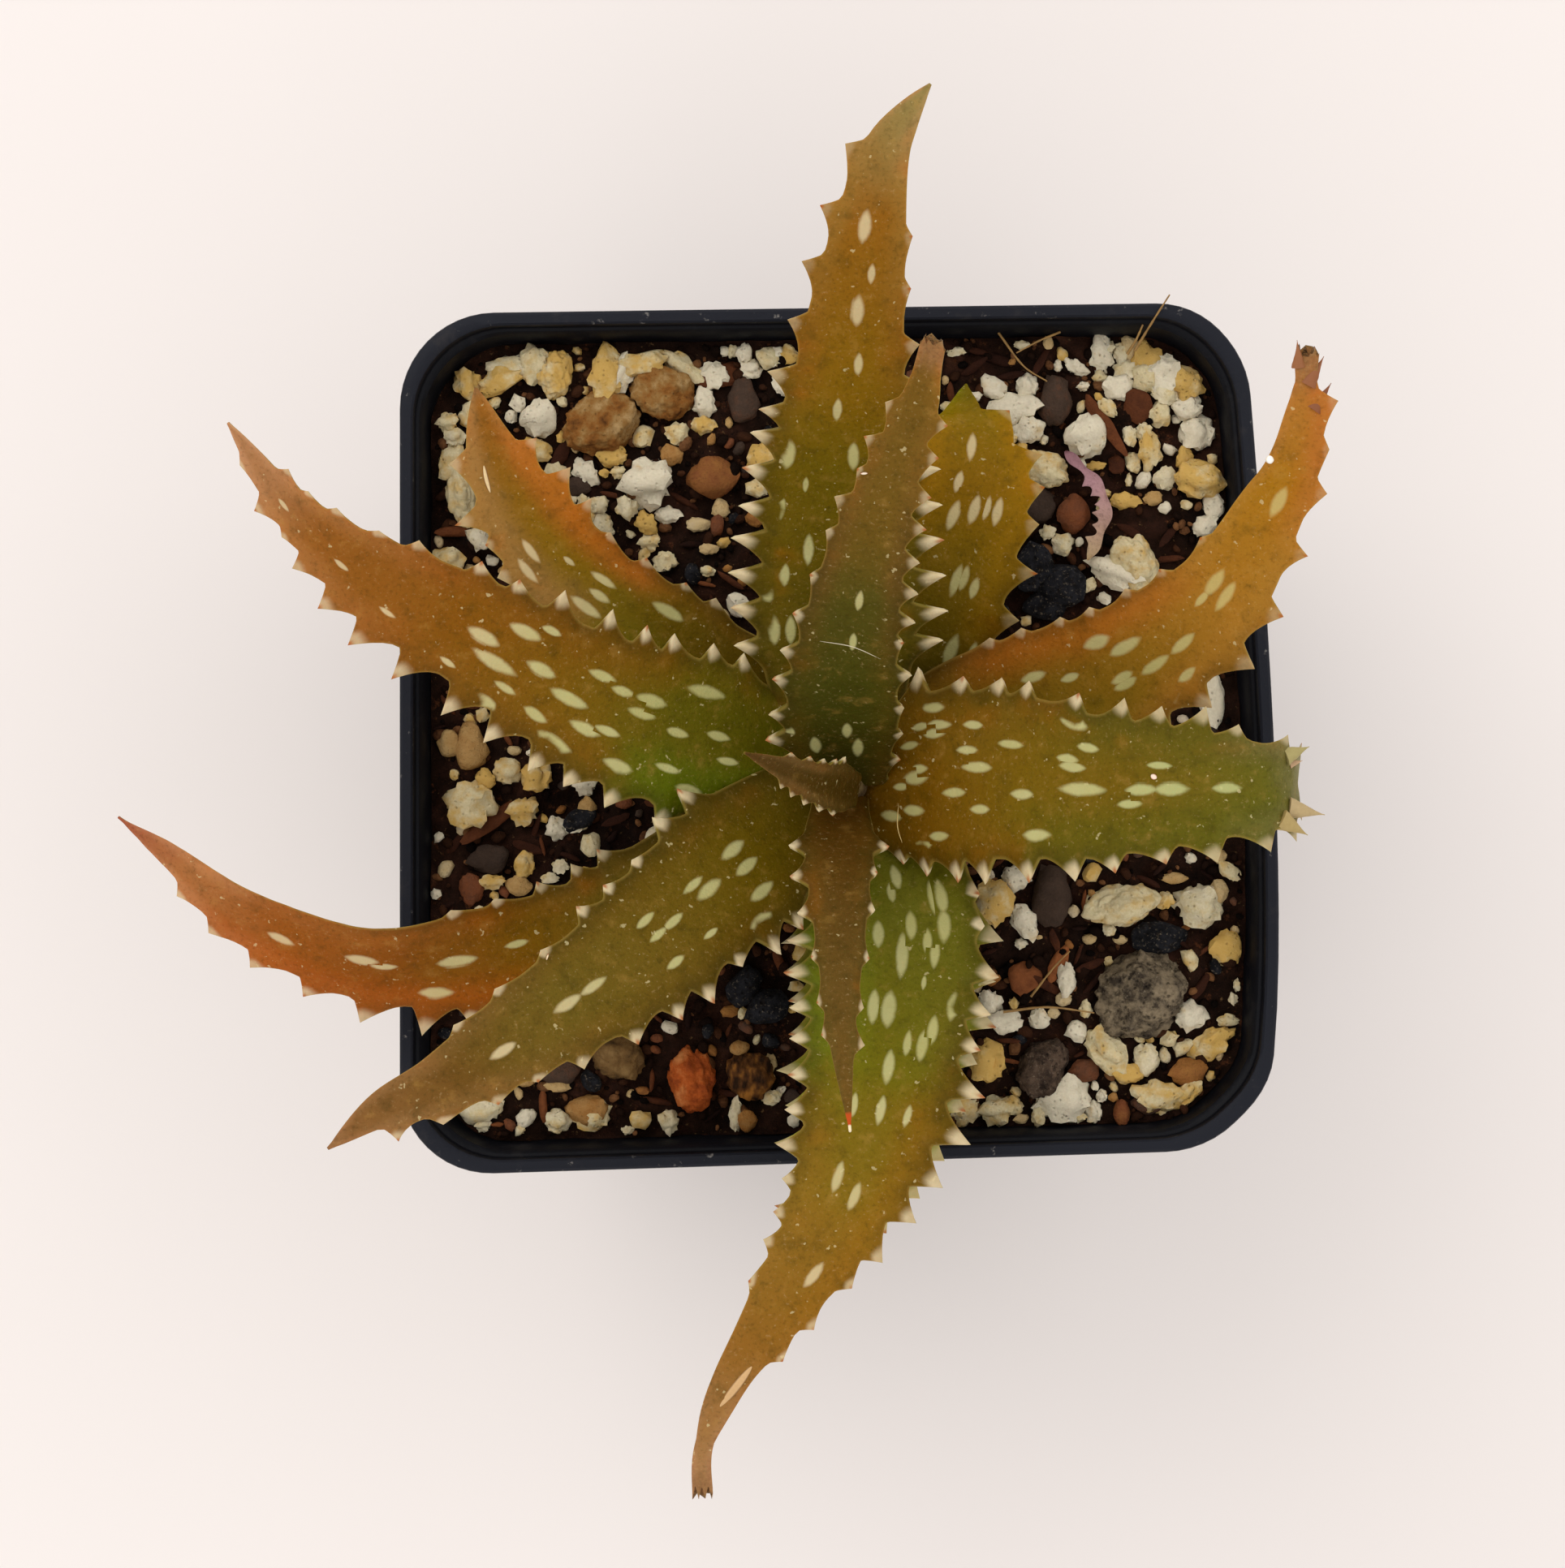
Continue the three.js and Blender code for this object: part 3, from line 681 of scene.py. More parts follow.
            (-4, -39.5, 80), (-7.5, -44.5, 80), (-9.5, -49.5, 79), (-9.5, -53.3, 78)],
        "trim": [
            (0.45, 0, 0), (0.6, -0.9, 0), (0.7, -0.8, -0.2), (0.8, -0.4, -0.5), (0.9, 0, -0.2), (1, 0, 0)],
        "bare": (1, 0.75),
        "casts": [
            (1, 0.05, 0.42, 0.45, "6c8420"), (-1, 0.0, 0.3, 0.5, "5c5a10"),
            (-1, 0.45, 0.75, 0.35, "8c5a14")],
        "middle": [
            (0, "5a5614"), (0.2, "69661c"), (0.42, "6c6412"), (0.6, "80601c"), (0.8, "875c24"),
            (1, "9f774e")],
        "edge": [
            (0, "5c4a12"), (0.2, "6e6a20"), (0.42, "62500f"), (0.6, "846420"), (0.8, "8a5f28"),
            (1, "a37c58")],
        "dry": 0.97, "warm": 0.15, "tipHalf": 0.72, "torn": (1.1, 0.95), "pale": (0.85, 0.5),
        "flecks": [
            (1105, 1083), (1095, 1102), (1082, 1150), (1113, 1175, 1.4), (1125, 1140), (1141, 1160),
            (1151, 1170, 1.4), (1148, 1109), (1164, 1104), (1162, 1137), (1072, 1241, 1.4),
            (1098, 1244, 1.1), (1171, 1239), (1148, 1267), (1137, 1285), (1115, 1286), (1092, 1313),
            (1056, 1360), (1087, 1368), (1120, 1377), (1138, 1210, 0.6), (1033, 1449), (1052, 1475),
            (1004, 1569)],
        "teeth": [
            (1200, 1099), (1213, 1137), (1215, 1350), (1194, 1414), (1159, 1468), (1128, 1508),
            (1087, 1556), (1049, 1588), (1004, 1637), (963, 1679), (965, 1201), (972, 1243), (972, 1282),
            (966, 1368), (963, 1452), (952, 1494), (940, 1527), (924, 1578)],
    },
    "leaf_upper_right": {
        "width": 10.8, "thickness": 3.0, "taper": (2.1, 0.75),
        "stretch": (0.28, 0.95),
        "spine": [
            (2.5, -2.5, 60), (13, 2.2, 65), (20, 5, 70.5), (25, 9, 76), (28.3, 14.5, 81),
            (30.6, 19.5, 85), (31.2, 26, 87.5)],
        "trim": [
            (0.3, -0.8, 0), (0.5, -0.9, 0), (0.7, -1.6, 0), (0.8, -1.3, 0), (0.92, -0.6, 0), (1, -0.3, 0)],
        "bare": (-1, 0.74), "fleckTone": "c4b070",
        "casts": [
            (-1, 0.2, 0.6, 0.4, "b05c26"), (1, 0.1, 0.4, 0.4, "6f6418"), (1, 0.75, 1.0, 0.3, "ac5626")],
        "middle": [
            (0, "5c420c"), (0.25, "735a18"), (0.45, "8f6822"), (0.6, "a06f2a"), (0.8, "a06e20"),
            (1, "a86d38")],
        "edge": [(0, "6a4c14"), (0.3, "8a5f20"), (0.5, "a1702e"), (0.75, "a3742e"), (1, "a96e38")],
        "dry": 0.95, "warm": 0.25, "tipHalf": 0.95, "torn": (0.9, 0.94), "pale": (0.45, 0.15),
        "flecks": [
            (1349, 791), (1387, 798, 1.5), (1461, 794), (1425, 820, 1.3), (1381, 833), (1390, 842),
            (1461, 831), (1462, 852), (1320, 836), (1276, 836), (1494, 720), (1484, 737), (1510, 737),
            (1572, 619)],
        "teeth": [
            (1633, 555), (1635, 608), (1612, 683), (1582, 758), (1547, 822), (1480, 661), (1430, 699),
            (1389, 723), (1343, 747), (1309, 760), (1260, 782), (1223, 791)],
    },
    "leaf_upper_left": {
        "width": 9.0, "thickness": 2.4, "channel": 0.14, "taper": (3.0, 0.8),
        "stretch": (0.25, 0.9),
        "spine": [
            (-1, -1.5, 59), (-10, 6.5, 61), (-15.5, 10, 62), (-20.5, 13.5, 62.3), (-23.5, 17.5, 62),
            (-25.5, 21.5, 61.5), (-26.5, 25.5, 62)],
        "trim": [
            (0.15, 0, -0.6), (0.3, 0, -1.8), (0.5, 0, -1.7), (0.62, 0, -0.7), (0.72, 0, -0.1), (1, 0, 0)],
        "casts": [
            (1, 0.45, 0.9, 0.5, "b4602a"), (-1, 0.1, 0.5, 0.4, "626a18"), (-1, 0.55, 1.0, 0.6, "9a7444")],
        "middle": [
            (0, "483808"), (0.3, "5f4a0a"), (0.5, "6e580f"), (0.65, "7f5e13"), (0.85, "86591a"),
            (1, "99622a")],
        "edge": [(0, "4a3a08"), (0.35, "6a4a10"), (0.55, "7f5c14"), (0.8, "9a6a22"), (1, "a97440")],
        "dry": 0.98, "warm": 0.5, "pale": (0.45, 0.4),
        "flecks": [(656, 680), (647, 704), (740, 714), (740, 733), (722, 750), (824, 756), (700, 690, 0.6)],
        "teeth": [
            (751, 662), (798, 688), (846, 718), (884, 738), (553, 571), (560, 646), (599, 674), (612, 711)],
    },
    "leaf_far_left": {
        "width": 8.6, "thickness": 2.5, "channel": 0.15, "taper": (1.5, 0.8),
        "stretch": (0.25, 0.9), "tooth": 1.2, "pitch": 3.2,
        "spine": [
            (-1, -4.5, 58.5), (-12.5, -11.5, 62.5), (-20, -15, 65), (-27.5, -16.5, 66.8),
            (-34.5, -16.5, 67.5), (-43, -13, 67.5), (-48, -9, 67), (-52, -6, 66.5)],
        "trim": [(0.35, 0, 0), (0.55, 0.4, 1.2), (0.8, 0.4, 1.1), (0.92, 0.1, 0.5), (1, 0, 0)],
        "roll": (0.35, 0.6, 35), "bare": (1, 0.55),
        "casts": [(-1, 0.3, 0.85, 0.35, "a84e1c")],
        "middle": [
            (0, "5c4f10"), (0.3, "6f5c1c"), (0.45, "744e10"), (0.6, "804814"), (0.75, "90511f"),
            (0.9, "a2683c"), (1, "97543c")],
        "edge": [
            (0, "5a4a10"), (0.3, "685018"), (0.5, "7b4a13"), (0.75, "96592a"), (0.9, "b07a50"),
            (1, "9c5c44")],
        "warm": 0.3, "pale": (0.6, 0.55),
        "flecks": [
            (343, 1158), (446, 1180, 1.4), (563, 1185, 1.3), (541, 1225, 1.2), (639, 1165), (470, 1192)],
        "teeth": [
            (250, 1082), (277, 1112), (304, 1102), (370, 1122), (430, 1133), (495, 1125), (553, 1120),
            (608, 1107), (664, 1085), (705, 1063), (735, 1046), (256, 1151), (307, 1195), (372, 1233),
            (445, 1265), (521, 1280)],
    },
    "leaf_behind": {
        "width": 9.6, "thickness": 2.6, "channel": 0.15, "taper": (3.2, 0.7),
        "stretch": (0.25, 0.92), "pitch": 2.8,
        "spine": [
            (1.5, -1.5, 59), (6, 7, 61.5), (8.5, 13.5, 63.8), (10.3, 19, 64.5), (10.6, 23.3, 62.8),
            (9.6, 26, 59.5)],
        "trim": [(0.6, 0, 0), (0.7, 0.3, 0), (0.8, 0.5, -1.0), (0.9, 0.7, -2.4), (1, 0, -3.2)],
        "middle": [
            (0, "463a0b"), (0.3, "62500f"), (0.5, "775c14"), (0.7, "805c0c"), (0.9, "7c6416"),
            (1, "6a5e18")],
        "edge": [(0, "4a3a0b"), (0.3, "6a5412"), (0.55, "8a640c"), (0.8, "8f6608"), (1, "6e6c14")],
        "warm": 0.2, "pale": (0.25, 0.25),
        "flecks": [
            (1194, 550), (1184, 594), (1171, 635), (1199, 629), (1213, 629), (1227, 629), (1175, 713),
            (1191, 714), (1203, 722), (1174, 799), (1196, 802, 0.8)],
        "teeth": [(1282, 550), (1287, 601), (1280, 647), (1278, 707), (1256, 764)],
    },
    "leaf_under_bottom": {
        "width": 12.6, "thickness": 2.6, "channel": 0.12, "taper": (2.4, 0.8),
        "stretch": (0.25, 0.9),
        "spine": [
            (1.5, -4.5, 58.5), (4, -14.5, 61), (3.5, -22.5, 62.5), (2, -29.5, 64), (0, -35, 64.5),
            (-2.5, -39.5, 64.5)],
        "middle": [(0, "5a4c12"), (0.4, "7a7626"), (0.7, "7a7020"), (1, "86681f")],
        "edge": [(0, "6a6018"), (0.4, "8a8a2c"), (0.7, "90902e"), (1, "8c7226")],
        "warm": 0.1,
        "teeth": [
            (956, 1324), (951, 1416), (952, 1494), (1236, 1159), (1212, 1187), (1227, 1208), (1227, 1267),
            (1204, 1310)],
    },
}

leafDefaults = {
    "channel": 0.16,                # rise of the margins, as a share of the half width
    "tooth": 1.9, "pitch": 2.9,     # mm, for the teeth that have no place of their own
    "flecks": [],
    "fleckTone": "d2bf94",
    "pale": (0.8, 0.5),             # how pale the teeth are near the crown and near the tip
    "casts": [],                    # side, from which to which share, strength and tone of a tinge
    "trim": [],                     # share, and mm added there to the half width at side -1 and at side 1
    "roll": (0.5, 0.8, 0),          # from which to which share it turns about its length, and degrees
    "bare": (0, 1),                 # the side that shows no teeth, and from which share
    "torn": (0, 1),                 # mm by which the end is notched, and from which share
    "tipHalf": 0.1,                 # half width at the tip, mm
    "dry": 1.0,                     # the share from which the end is dry
    "point": None,                  # tone of the hard point
}

leafShape = {
    "columnsAbove": 24, "columnsBelow": 12, "sectionStep": 0.5, "sectionGap": 0.06, "smooth": 50,
    "baseNarrowing": 0.3, "narrowShare": 0.22, "widening": 0.3, "fullWidth": 9, "leastHalfWidth": 0.1,
    "upperShare": 0.7, "lowerShare": 1.3, "marginSharpness": 0.35, "thinning": (1.5, 0.8),
    "leastHalfThickness": 0.12,
    "waviness": 0.22, "waveRates": (0.16, 0.7, 1.5), "fullWave": 3, "unevenness": 0.07, "unevenRate": 0.9,
    "unevenBelow": 0.5, "jags": 1.6,
}

# How far a tooth spreads behind it and ahead, as a share of the gap to the next and at most in mm, the
# sections that follow it, and how sharply it is drawn. A filled-in tooth varies a little in place and size.
toothShape = {
    "spreadBehind": (0.8, 2.4), "spreadAhead": (0.3, 0.85), "leastSpread": 0.25,
    "sectionsBehind": (0.08, 0.2, 0.38, 0.65), "sectionsAhead": (0.2, 0.45, 0.8),
    "drawBehind": 1.7, "drawAhead": 1.3, "from": 0.74, "lean": 0.14, "range": (0.45, 2.5),
    "marginStep": 0.25, "fitting": 0.15, "shift": 0.12, "sizes": (0.45, 0.9), "variety": (0.75, 1),
}

# Half length and half width of a fleck in mm, how their sizes vary, and the grid that finds their places
fleckShape = {
    "half": (1.15, 0.41), "spread": 0.25, "widths": (0.85, 1.15), "widest": 1.25, "gridStep": 0.4,
    "gridSides": 9, "near": 3, "none": 9.0,
    "below": 0.03, "belowPlaces": (0.1, 0.95), "belowCrowding": 1.2, "belowSizes": (0.7, 1.2),
    "belowSide": 0.85,
}

leafTones = {
    "warm": "b0601e", "dark": "342c02", "light": "b48a48", "fineDark": "2a2402", "fineLight": "c8a878",
    # shade is a painted shade, laid along the margins on the inner half of each leaf
    "shade": "2f2a06", "speck": "d8c896", "under": "7a762e", "fleckDull": "b4ae66", "fleckClear": "d4cf9c",
    "margin": "a8904a", "tooth": "eadcba", "toothDull": "c4ac7c", "burnt": "a0521c", "thorn": "ead9b4",
    "dry": "a57c50", "dryDark": "5c4028",
}

leafBuilt = {}      # each leaf's values, spine and wave, for the marks that lie on it


class Spine:
    # a smooth curve through the points, read by the distance along it
    def __init__(self, points, steps=48):
        points = [Vector(p) for p in points]
        before = 2 * points[0] - points[1]
        after = 2 * points[-1] - points[-2]
        course = [before] + points + [after]
        self.samples = []
        for i in range(1, len(course) - 2):
            self.samples += [self.between(course[i - 1:i + 3], j / steps) for j in range(steps)]
        self.samples.append(points[-1])
        self.reach = [0.0]
        for first, second in zip(self.samples, self.samples[1:]):
            self.reach.append(self.reach[-1] + (second - first).length)
        self.length = self.reach[-1]

    def between(self, four, t):
        # the cubic from the second point to the third, paced by the square roots of the gaps
        a, b, c, d = four
        first, middle, last = (math.sqrt((far - near).length) for near, far in ((a, b), (b, c), (c, d)))
        leave = ((b - a) / first - (c - a) / (first + middle) + (c - b) / middle) * middle
        arrive = ((c - b) / middle - (d - b) / (middle + last) + (d - c) / last) * middle
        bend = -3 * b + 3 * c - 2 * leave - arrive
        turn = 2 * b - 2 * c + leave + arrive
        return b + leave * t + bend * t * t + turn * t ** 3

    def at(self, distance):
        distance = min(max(distance, 0.0), self.length)
        i = min(max(bisect.bisect_right(self.reach, distance) - 1, 0), len(self.samples) - 2)
        share = (distance - self.reach[i]) / (self.reach[i + 1] - self.reach[i])
        return self.samples[i].lerp(self.samples[i + 1], share)

    def axes(self, distance, aside=0.3):
        # the ways along, across and up from the blade
        along = (self.at(distance + aside) - self.at(distance - aside)).normalized()
        across = along.cross(Vector((0, 0, 1))).normalized()
        return along, across, across.cross(along)


def alongLeaf(rows, share, column):
    # a column's value at this share of the leaf, eased between rows that start with their shares
    for first, second in zip(rows, rows[1:]):
        if share <= second[0]:
            return blend(first[column], second[column], ease(share, first[0], second[0]))
    return rows[-1][column]


def leafAxes(leaf, spine, distance):
    # the ways along, across and up, rolled about the spine where the leaf shows its margin from above
    along, across, up = spine.axes(distance)
    low, high, degrees = leaf["roll"]
    turn = math.radians(degrees) * ease(distance / spine.length, low, high)
    rolled = across * math.cos(turn) + up * math.sin(turn)
    return along, rolled, up * math.cos(turn) - across * math.sin(turn)


def halfWidthAt(leaf, share, side):
    shape = leafShape
    narrowed = 1 - shape["baseNarrowing"] * (1 - ease(share, 0, shape["narrowShare"]))
    first, second = leaf["taper"]
    full = leaf["width"] / 2 + shape["widening"] * min(leaf["width"] / shape["fullWidth"], 1)
    half = max(full * narrowed * (1 - share ** first) ** second, leaf["tipHalf"])
    trimmed = half + alongLeaf([(0, 0, 0)] + leaf["trim"], share, 1 if side < 0 else 2)
    return max(trimmed, shape["leastHalfWidth"])


def halfThicknessAt(leaf, share):
    first, second = leafShape["thinning"]
    return max(leaf["thickness"] / 2 * (1 - share ** first) ** second, leafShape["leastHalfThickness"])


def plainPoint(leaf, spine, distance, side, height):
    # a point of the blade without teeth: side runs from -1 to 1 across it, height from -1 to 1 through it
    shape = leafShape
    share = min(distance / spine.length, 1)
    along, across, up = leafAxes(leaf, spine, distance)
    half = halfWidthAt(leaf, share, side)
    thick = halfThicknessAt(leaf, share) * shape["upperShare" if height > 0 else "lowerShare"]
    rise = leaf["channel"] * half * side * side + height * abs(height) ** shape["marginSharpness"] * thick
    return spine.at(distance) + across * side * half + up * rise


def measuredTeeth(leaf, spine):
    # each tooth tip seen in the photograph, as a distance along the leaf, a margin and a reach
    steps = int(spine.length / toothShape["marginStep"])
    margins = []
    for i in range(steps + 1):
        distance = spine.length * i / steps
        for side in (-1, 1):
            point = plainPoint(leaf, spine, distance, side, 0)
            margins.append((pixelOf(point), distance, side, point.z))
    low, high = toothShape["range"]
    teeth = []
    for tip in leaf["teeth"]:
        aim = Vector(tip)
        seen, distance, side, z = min(margins, key=lambda margin: (margin[0] - aim).length)
        reach = (seen - aim).length * pixelSize(z)
        teeth.append([distance, side, min(max(reach, low), high)])
    return teeth


def filledTeeth(leaf, spine, side, places, draw):
    # more teeth by the pitch, wherever these places on a margin leave a gap
    shape = toothShape
    first, last = (share * spine.length for share in leaf["stretch"])
    stops = [first - leaf["pitch"] / 2] + places + [last + leaf["pitch"] / 2]
    least, growth = shape["sizes"]
    teeth = []
    for low, high in zip(stops, stops[1:]):
        more = int((high - low) / leaf["pitch"] + shape["fitting"]) - 1
        for i in range(more):
            shifted = i + 1 + draw.uniform(-shape["shift"], shape["shift"])
            distance = low + (high - low) * shifted / (more + 1)
            size = min(1, least + growth * math.sqrt(1 - distance / spine.length))
            teeth.append([distance, side, leaf["tooth"] * size * draw.uniform(*shape["variety"])])
    return teeth


def allTeeth(leaf, spine, draw):
    # distance, side, reach and warmth of each tooth, and how far it spreads behind and ahead
    shape = toothShape
    measured = measuredTeeth(leaf, spine)
    bareSide, bareFrom = leaf["bare"]
    teeth = []
    for side in (-1, 1):
        own = sorted(tooth for tooth in measured if tooth[1] == side)
        own += filledTeeth(leaf, spine, side, [tooth[0] for tooth in own], draw)
        own = sorted(tooth for tooth in own if side != bareSide or tooth[0] < bareFrom * spine.length)
        for i, tooth in enumerate(own):
            behind = tooth[0] - own[i - 1][0] if i > 0 else leaf["pitch"]
            ahead = own[i + 1][0] - tooth[0] if i + 1 < len(own) else leaf["pitch"]
            spreads = ((behind, *shape["spreadBehind"]), (ahead, *shape["spreadAhead"]))
            spans = [max(min(share * gap, most), shape["leastSpread"]) for gap, share, most in spreads]
            teeth.append(tooth + [draw.random()] + spans)
    return teeth


def toothPull(tooth, distance):
    # how much of a tooth's reach its margin has at this distance: drawn in behind, steep ahead
    tip, side, reach, warmth, behind, ahead = tooth
    if distance > tip:
        return max(1 - (distance - tip) / ahead, 0) ** toothShape["drawAhead"]
    return max(1 - (tip - distance) / behind, 0) ** toothShape["drawBehind"]


def sectionPlaces(spine, teeth):
    # distances along the leaf, closer together over each tooth
    shape = leafShape
    steps = math.ceil(spine.length / shape["sectionStep"])
    places = [0.0, spine.length] + [tooth[0] for tooth in teeth]
    for distance, side, reach, warmth, behind, ahead in teeth:
        places += [distance - behind * share for share in toothShape["sectionsBehind"]]
        places += [distance + ahead * share for share in toothShape["sectionsAhead"]]
    places += [spine.length * i / steps for i in range(steps + 1)]
    kept = []
    for place in places:
        i = bisect.bisect(kept, place)
        near = [abs(place - other) for other in kept[max(i - 1, 0):i + 1]]
        if 0 <= place <= spine.length and min(near, default=1) > shape["sectionGap"]:
            kept.insert(i, place)
    return kept


def aroundBlade():
    # side and height of each column, close together at the margins
    above, below = leafShape["columnsAbove"], leafShape["columnsBelow"]
    angles = [math.pi * i / above for i in range(above)]
    angles += [math.pi + math.pi * i / below for i in range(below)]
    return [(math.cos(a), math.sin(a)) for a in angles]


def wavedPoint(leaf, spine, shift, distance, side, height):
    # the plain blade with its slow waves and small lumps
    shape = leafShape
    up = leafAxes(leaf, spine, distance)[2]
    half = halfWidthAt(leaf, min(distance / spine.length, 1), side)
    point = plainPoint(leaf, spine, distance, side, height)
    along, across, apart = shape["waveRates"]
    wave = noise.noise(Vector((distance * along + shift, side * across, apart)))
    point += up * wave * shape["waviness"] * min(half / shape["fullWave"], 1)
    lump = noise.noise(point * shape["unevenRate"]) * (1 if height > 0 else shape["unevenBelow"])
    return point + up * shape["unevenness"] * lump


def bladeSlot(name):
    return name.replace("leaf_", "blade_")


def buildLeaf(name, leaf):
    draw = random.Random(name)
    spine = Spine(leaf["spine"])
    teeth = allTeeth(leaf, spine, draw)
    places = sectionPlaces(spine, teeth)
    columns = aroundBlade()
    shift = draw.uniform(0, 100)
    torn, tearFrom = leaf["torn"]
    traits = {}

    def place(row, column):
        distance = places[row]
        share = min(distance / spine.length, 1)
        side, height = columns[column]
        along, across, up = leafAxes(leaf, spine, distance)
        point = wavedPoint(leaf, spine, shift, distance, side, height)
        pull, warm, drawn = 0.0, 0.0, 0.0
        weight = ease(abs(side), toothShape["from"], 1)
        for tooth in teeth:
            closeness = toothPull(tooth, distance) * weight if tooth[1] * side > 0 else 0
            if tooth[2] * closeness > pull:
                pull, warm, drawn = tooth[2] * closeness, tooth[3], closeness
        point += (across * math.copysign(1, side) + up * leaf["channel"]) * pull
        point += along * toothShape["lean"] * pull * weight
        if share > tearFrom:
            notch = abs((side * leafShape["jags"] + shift) % 1 * 2 - 1)
            point -= along * torn * notch * (share - tearFrom) / (1 - tearFrom)
        traits[row, column] = (share, side, drawn, warm, 0.0 if height > 0 else 1.0)
        return point

    blade, seats = wrappedTube(name + "_blade", len(places), len(columns), place)
    rows = [traits[seat] for seat in seats]
    keepTrait(blade, "blade", "FLOAT_VECTOR", [value for row in rows for value in row[:3]])
    keepTrait(blade, "warmth", "FLOAT", [row[3] for row in rows])
    keepTrait(blade, "under", "FLOAT", [row[4] for row in rows])
    closeUp(blade)
    markFlecks(blade, leaf, spine, draw)
    smoothed(blade, leafShape["smooth"])
    dress(blade, leafMaterial(name, leaf), bladeSlot(name), name)
    leafBuilt[name] = (leaf, spine, shift)


def fleckPlaces(leaf, spine, draw):
    # flecks above, read off the photograph, and seeded ones below: distance, side, half length, half width
    shape = fleckShape
    long, wide = shape["half"]
    steps = int(spine.length / shape["gridStep"])
    sides = shape["gridSides"]
    grid = []
    for i in range(steps + 1):
        for j in range(-sides, sides + 1):
            distance, side = spine.length * i / steps, j / (sides + 1)
            point = plainPoint(leaf, spine, distance, side, math.sqrt(1 - side * side))
            grid.append((pixelOf(point), distance, side))
    above, below = [], []
    for x, y, *grown in leaf["flecks"]:
        aim = Vector((x, y))
        seen, distance, side = min(grid, key=lambda spot: (spot[0] - aim).length)
        size = (grown[0] if grown else 1) * draw.uniform(1 - shape["spread"], 1 + shape["spread"])
        broad = draw.uniform(*shape["widths"]) * min(size, shape["widest"])
        above.append((distance, side, long * size, wide * broad))
    for _ in range(round(spine.length * leaf["width"] * shape["below"])):
        distance = spine.length * draw.uniform(*shape["belowPlaces"]) ** shape["belowCrowding"]
        size = draw.uniform(*shape["belowSizes"])
        side = draw.uniform(-shape["belowSide"], shape["belowSide"])
        below.append((distance, side, long * size, wide * size))
    return above, below


def markFlecks(blade, leaf, spine, draw):
    # a second map that gives each face its offset from the nearest fleck, in fleck sizes
    mesh = blade.data
    above, below = fleckPlaces(leaf, spine, draw)
    count = len(mesh.vertices)
    seats = [0.0] * (3 * count)
    under = [0.0] * count
    mesh.attributes["blade"].data.foreach_get("vector", seats)
    mesh.attributes["under"].data.foreach_get("value", under)
    mesh.uv_layers.remove(mesh.uv_layers[0])
    layer = mesh.uv_layers.new(name="flecks")
    offsets = [fleckShape["none"]] * (2 * len(mesh.loops))
    for face in mesh.polygons:
        corners = face.vertices
        middle = sum(seats[3 * i] for i in corners) / len(corners) * spine.length
        flank = sum(seats[3 * i + 1] for i in corners) / len(corners)
        half = halfWidthAt(leaf, min(middle / spine.length, 1), flank)
        marks = above if sum(under[i] for i in corners) < len(corners) / 2 else below
        near = [mark for mark in marks if abs(mark[0] - middle) < fleckShape["near"]]
        if near:
            mark = min(near, key=lambda m: abs(m[0] - middle) / m[2] + abs(m[1] - flank) * half / m[3])
            for loop in face.loop_indices:
                i = mesh.loops[loop].vertex_index
                offsets[2 * loop] = (seats[3 * i] * spine.length - mark[0]) / mark[2]
                offsets[2 * loop + 1] = (seats[3 * i + 1] - mark[1]) * half / mark[3]
    layer.data.foreach_set("uv", offsets)


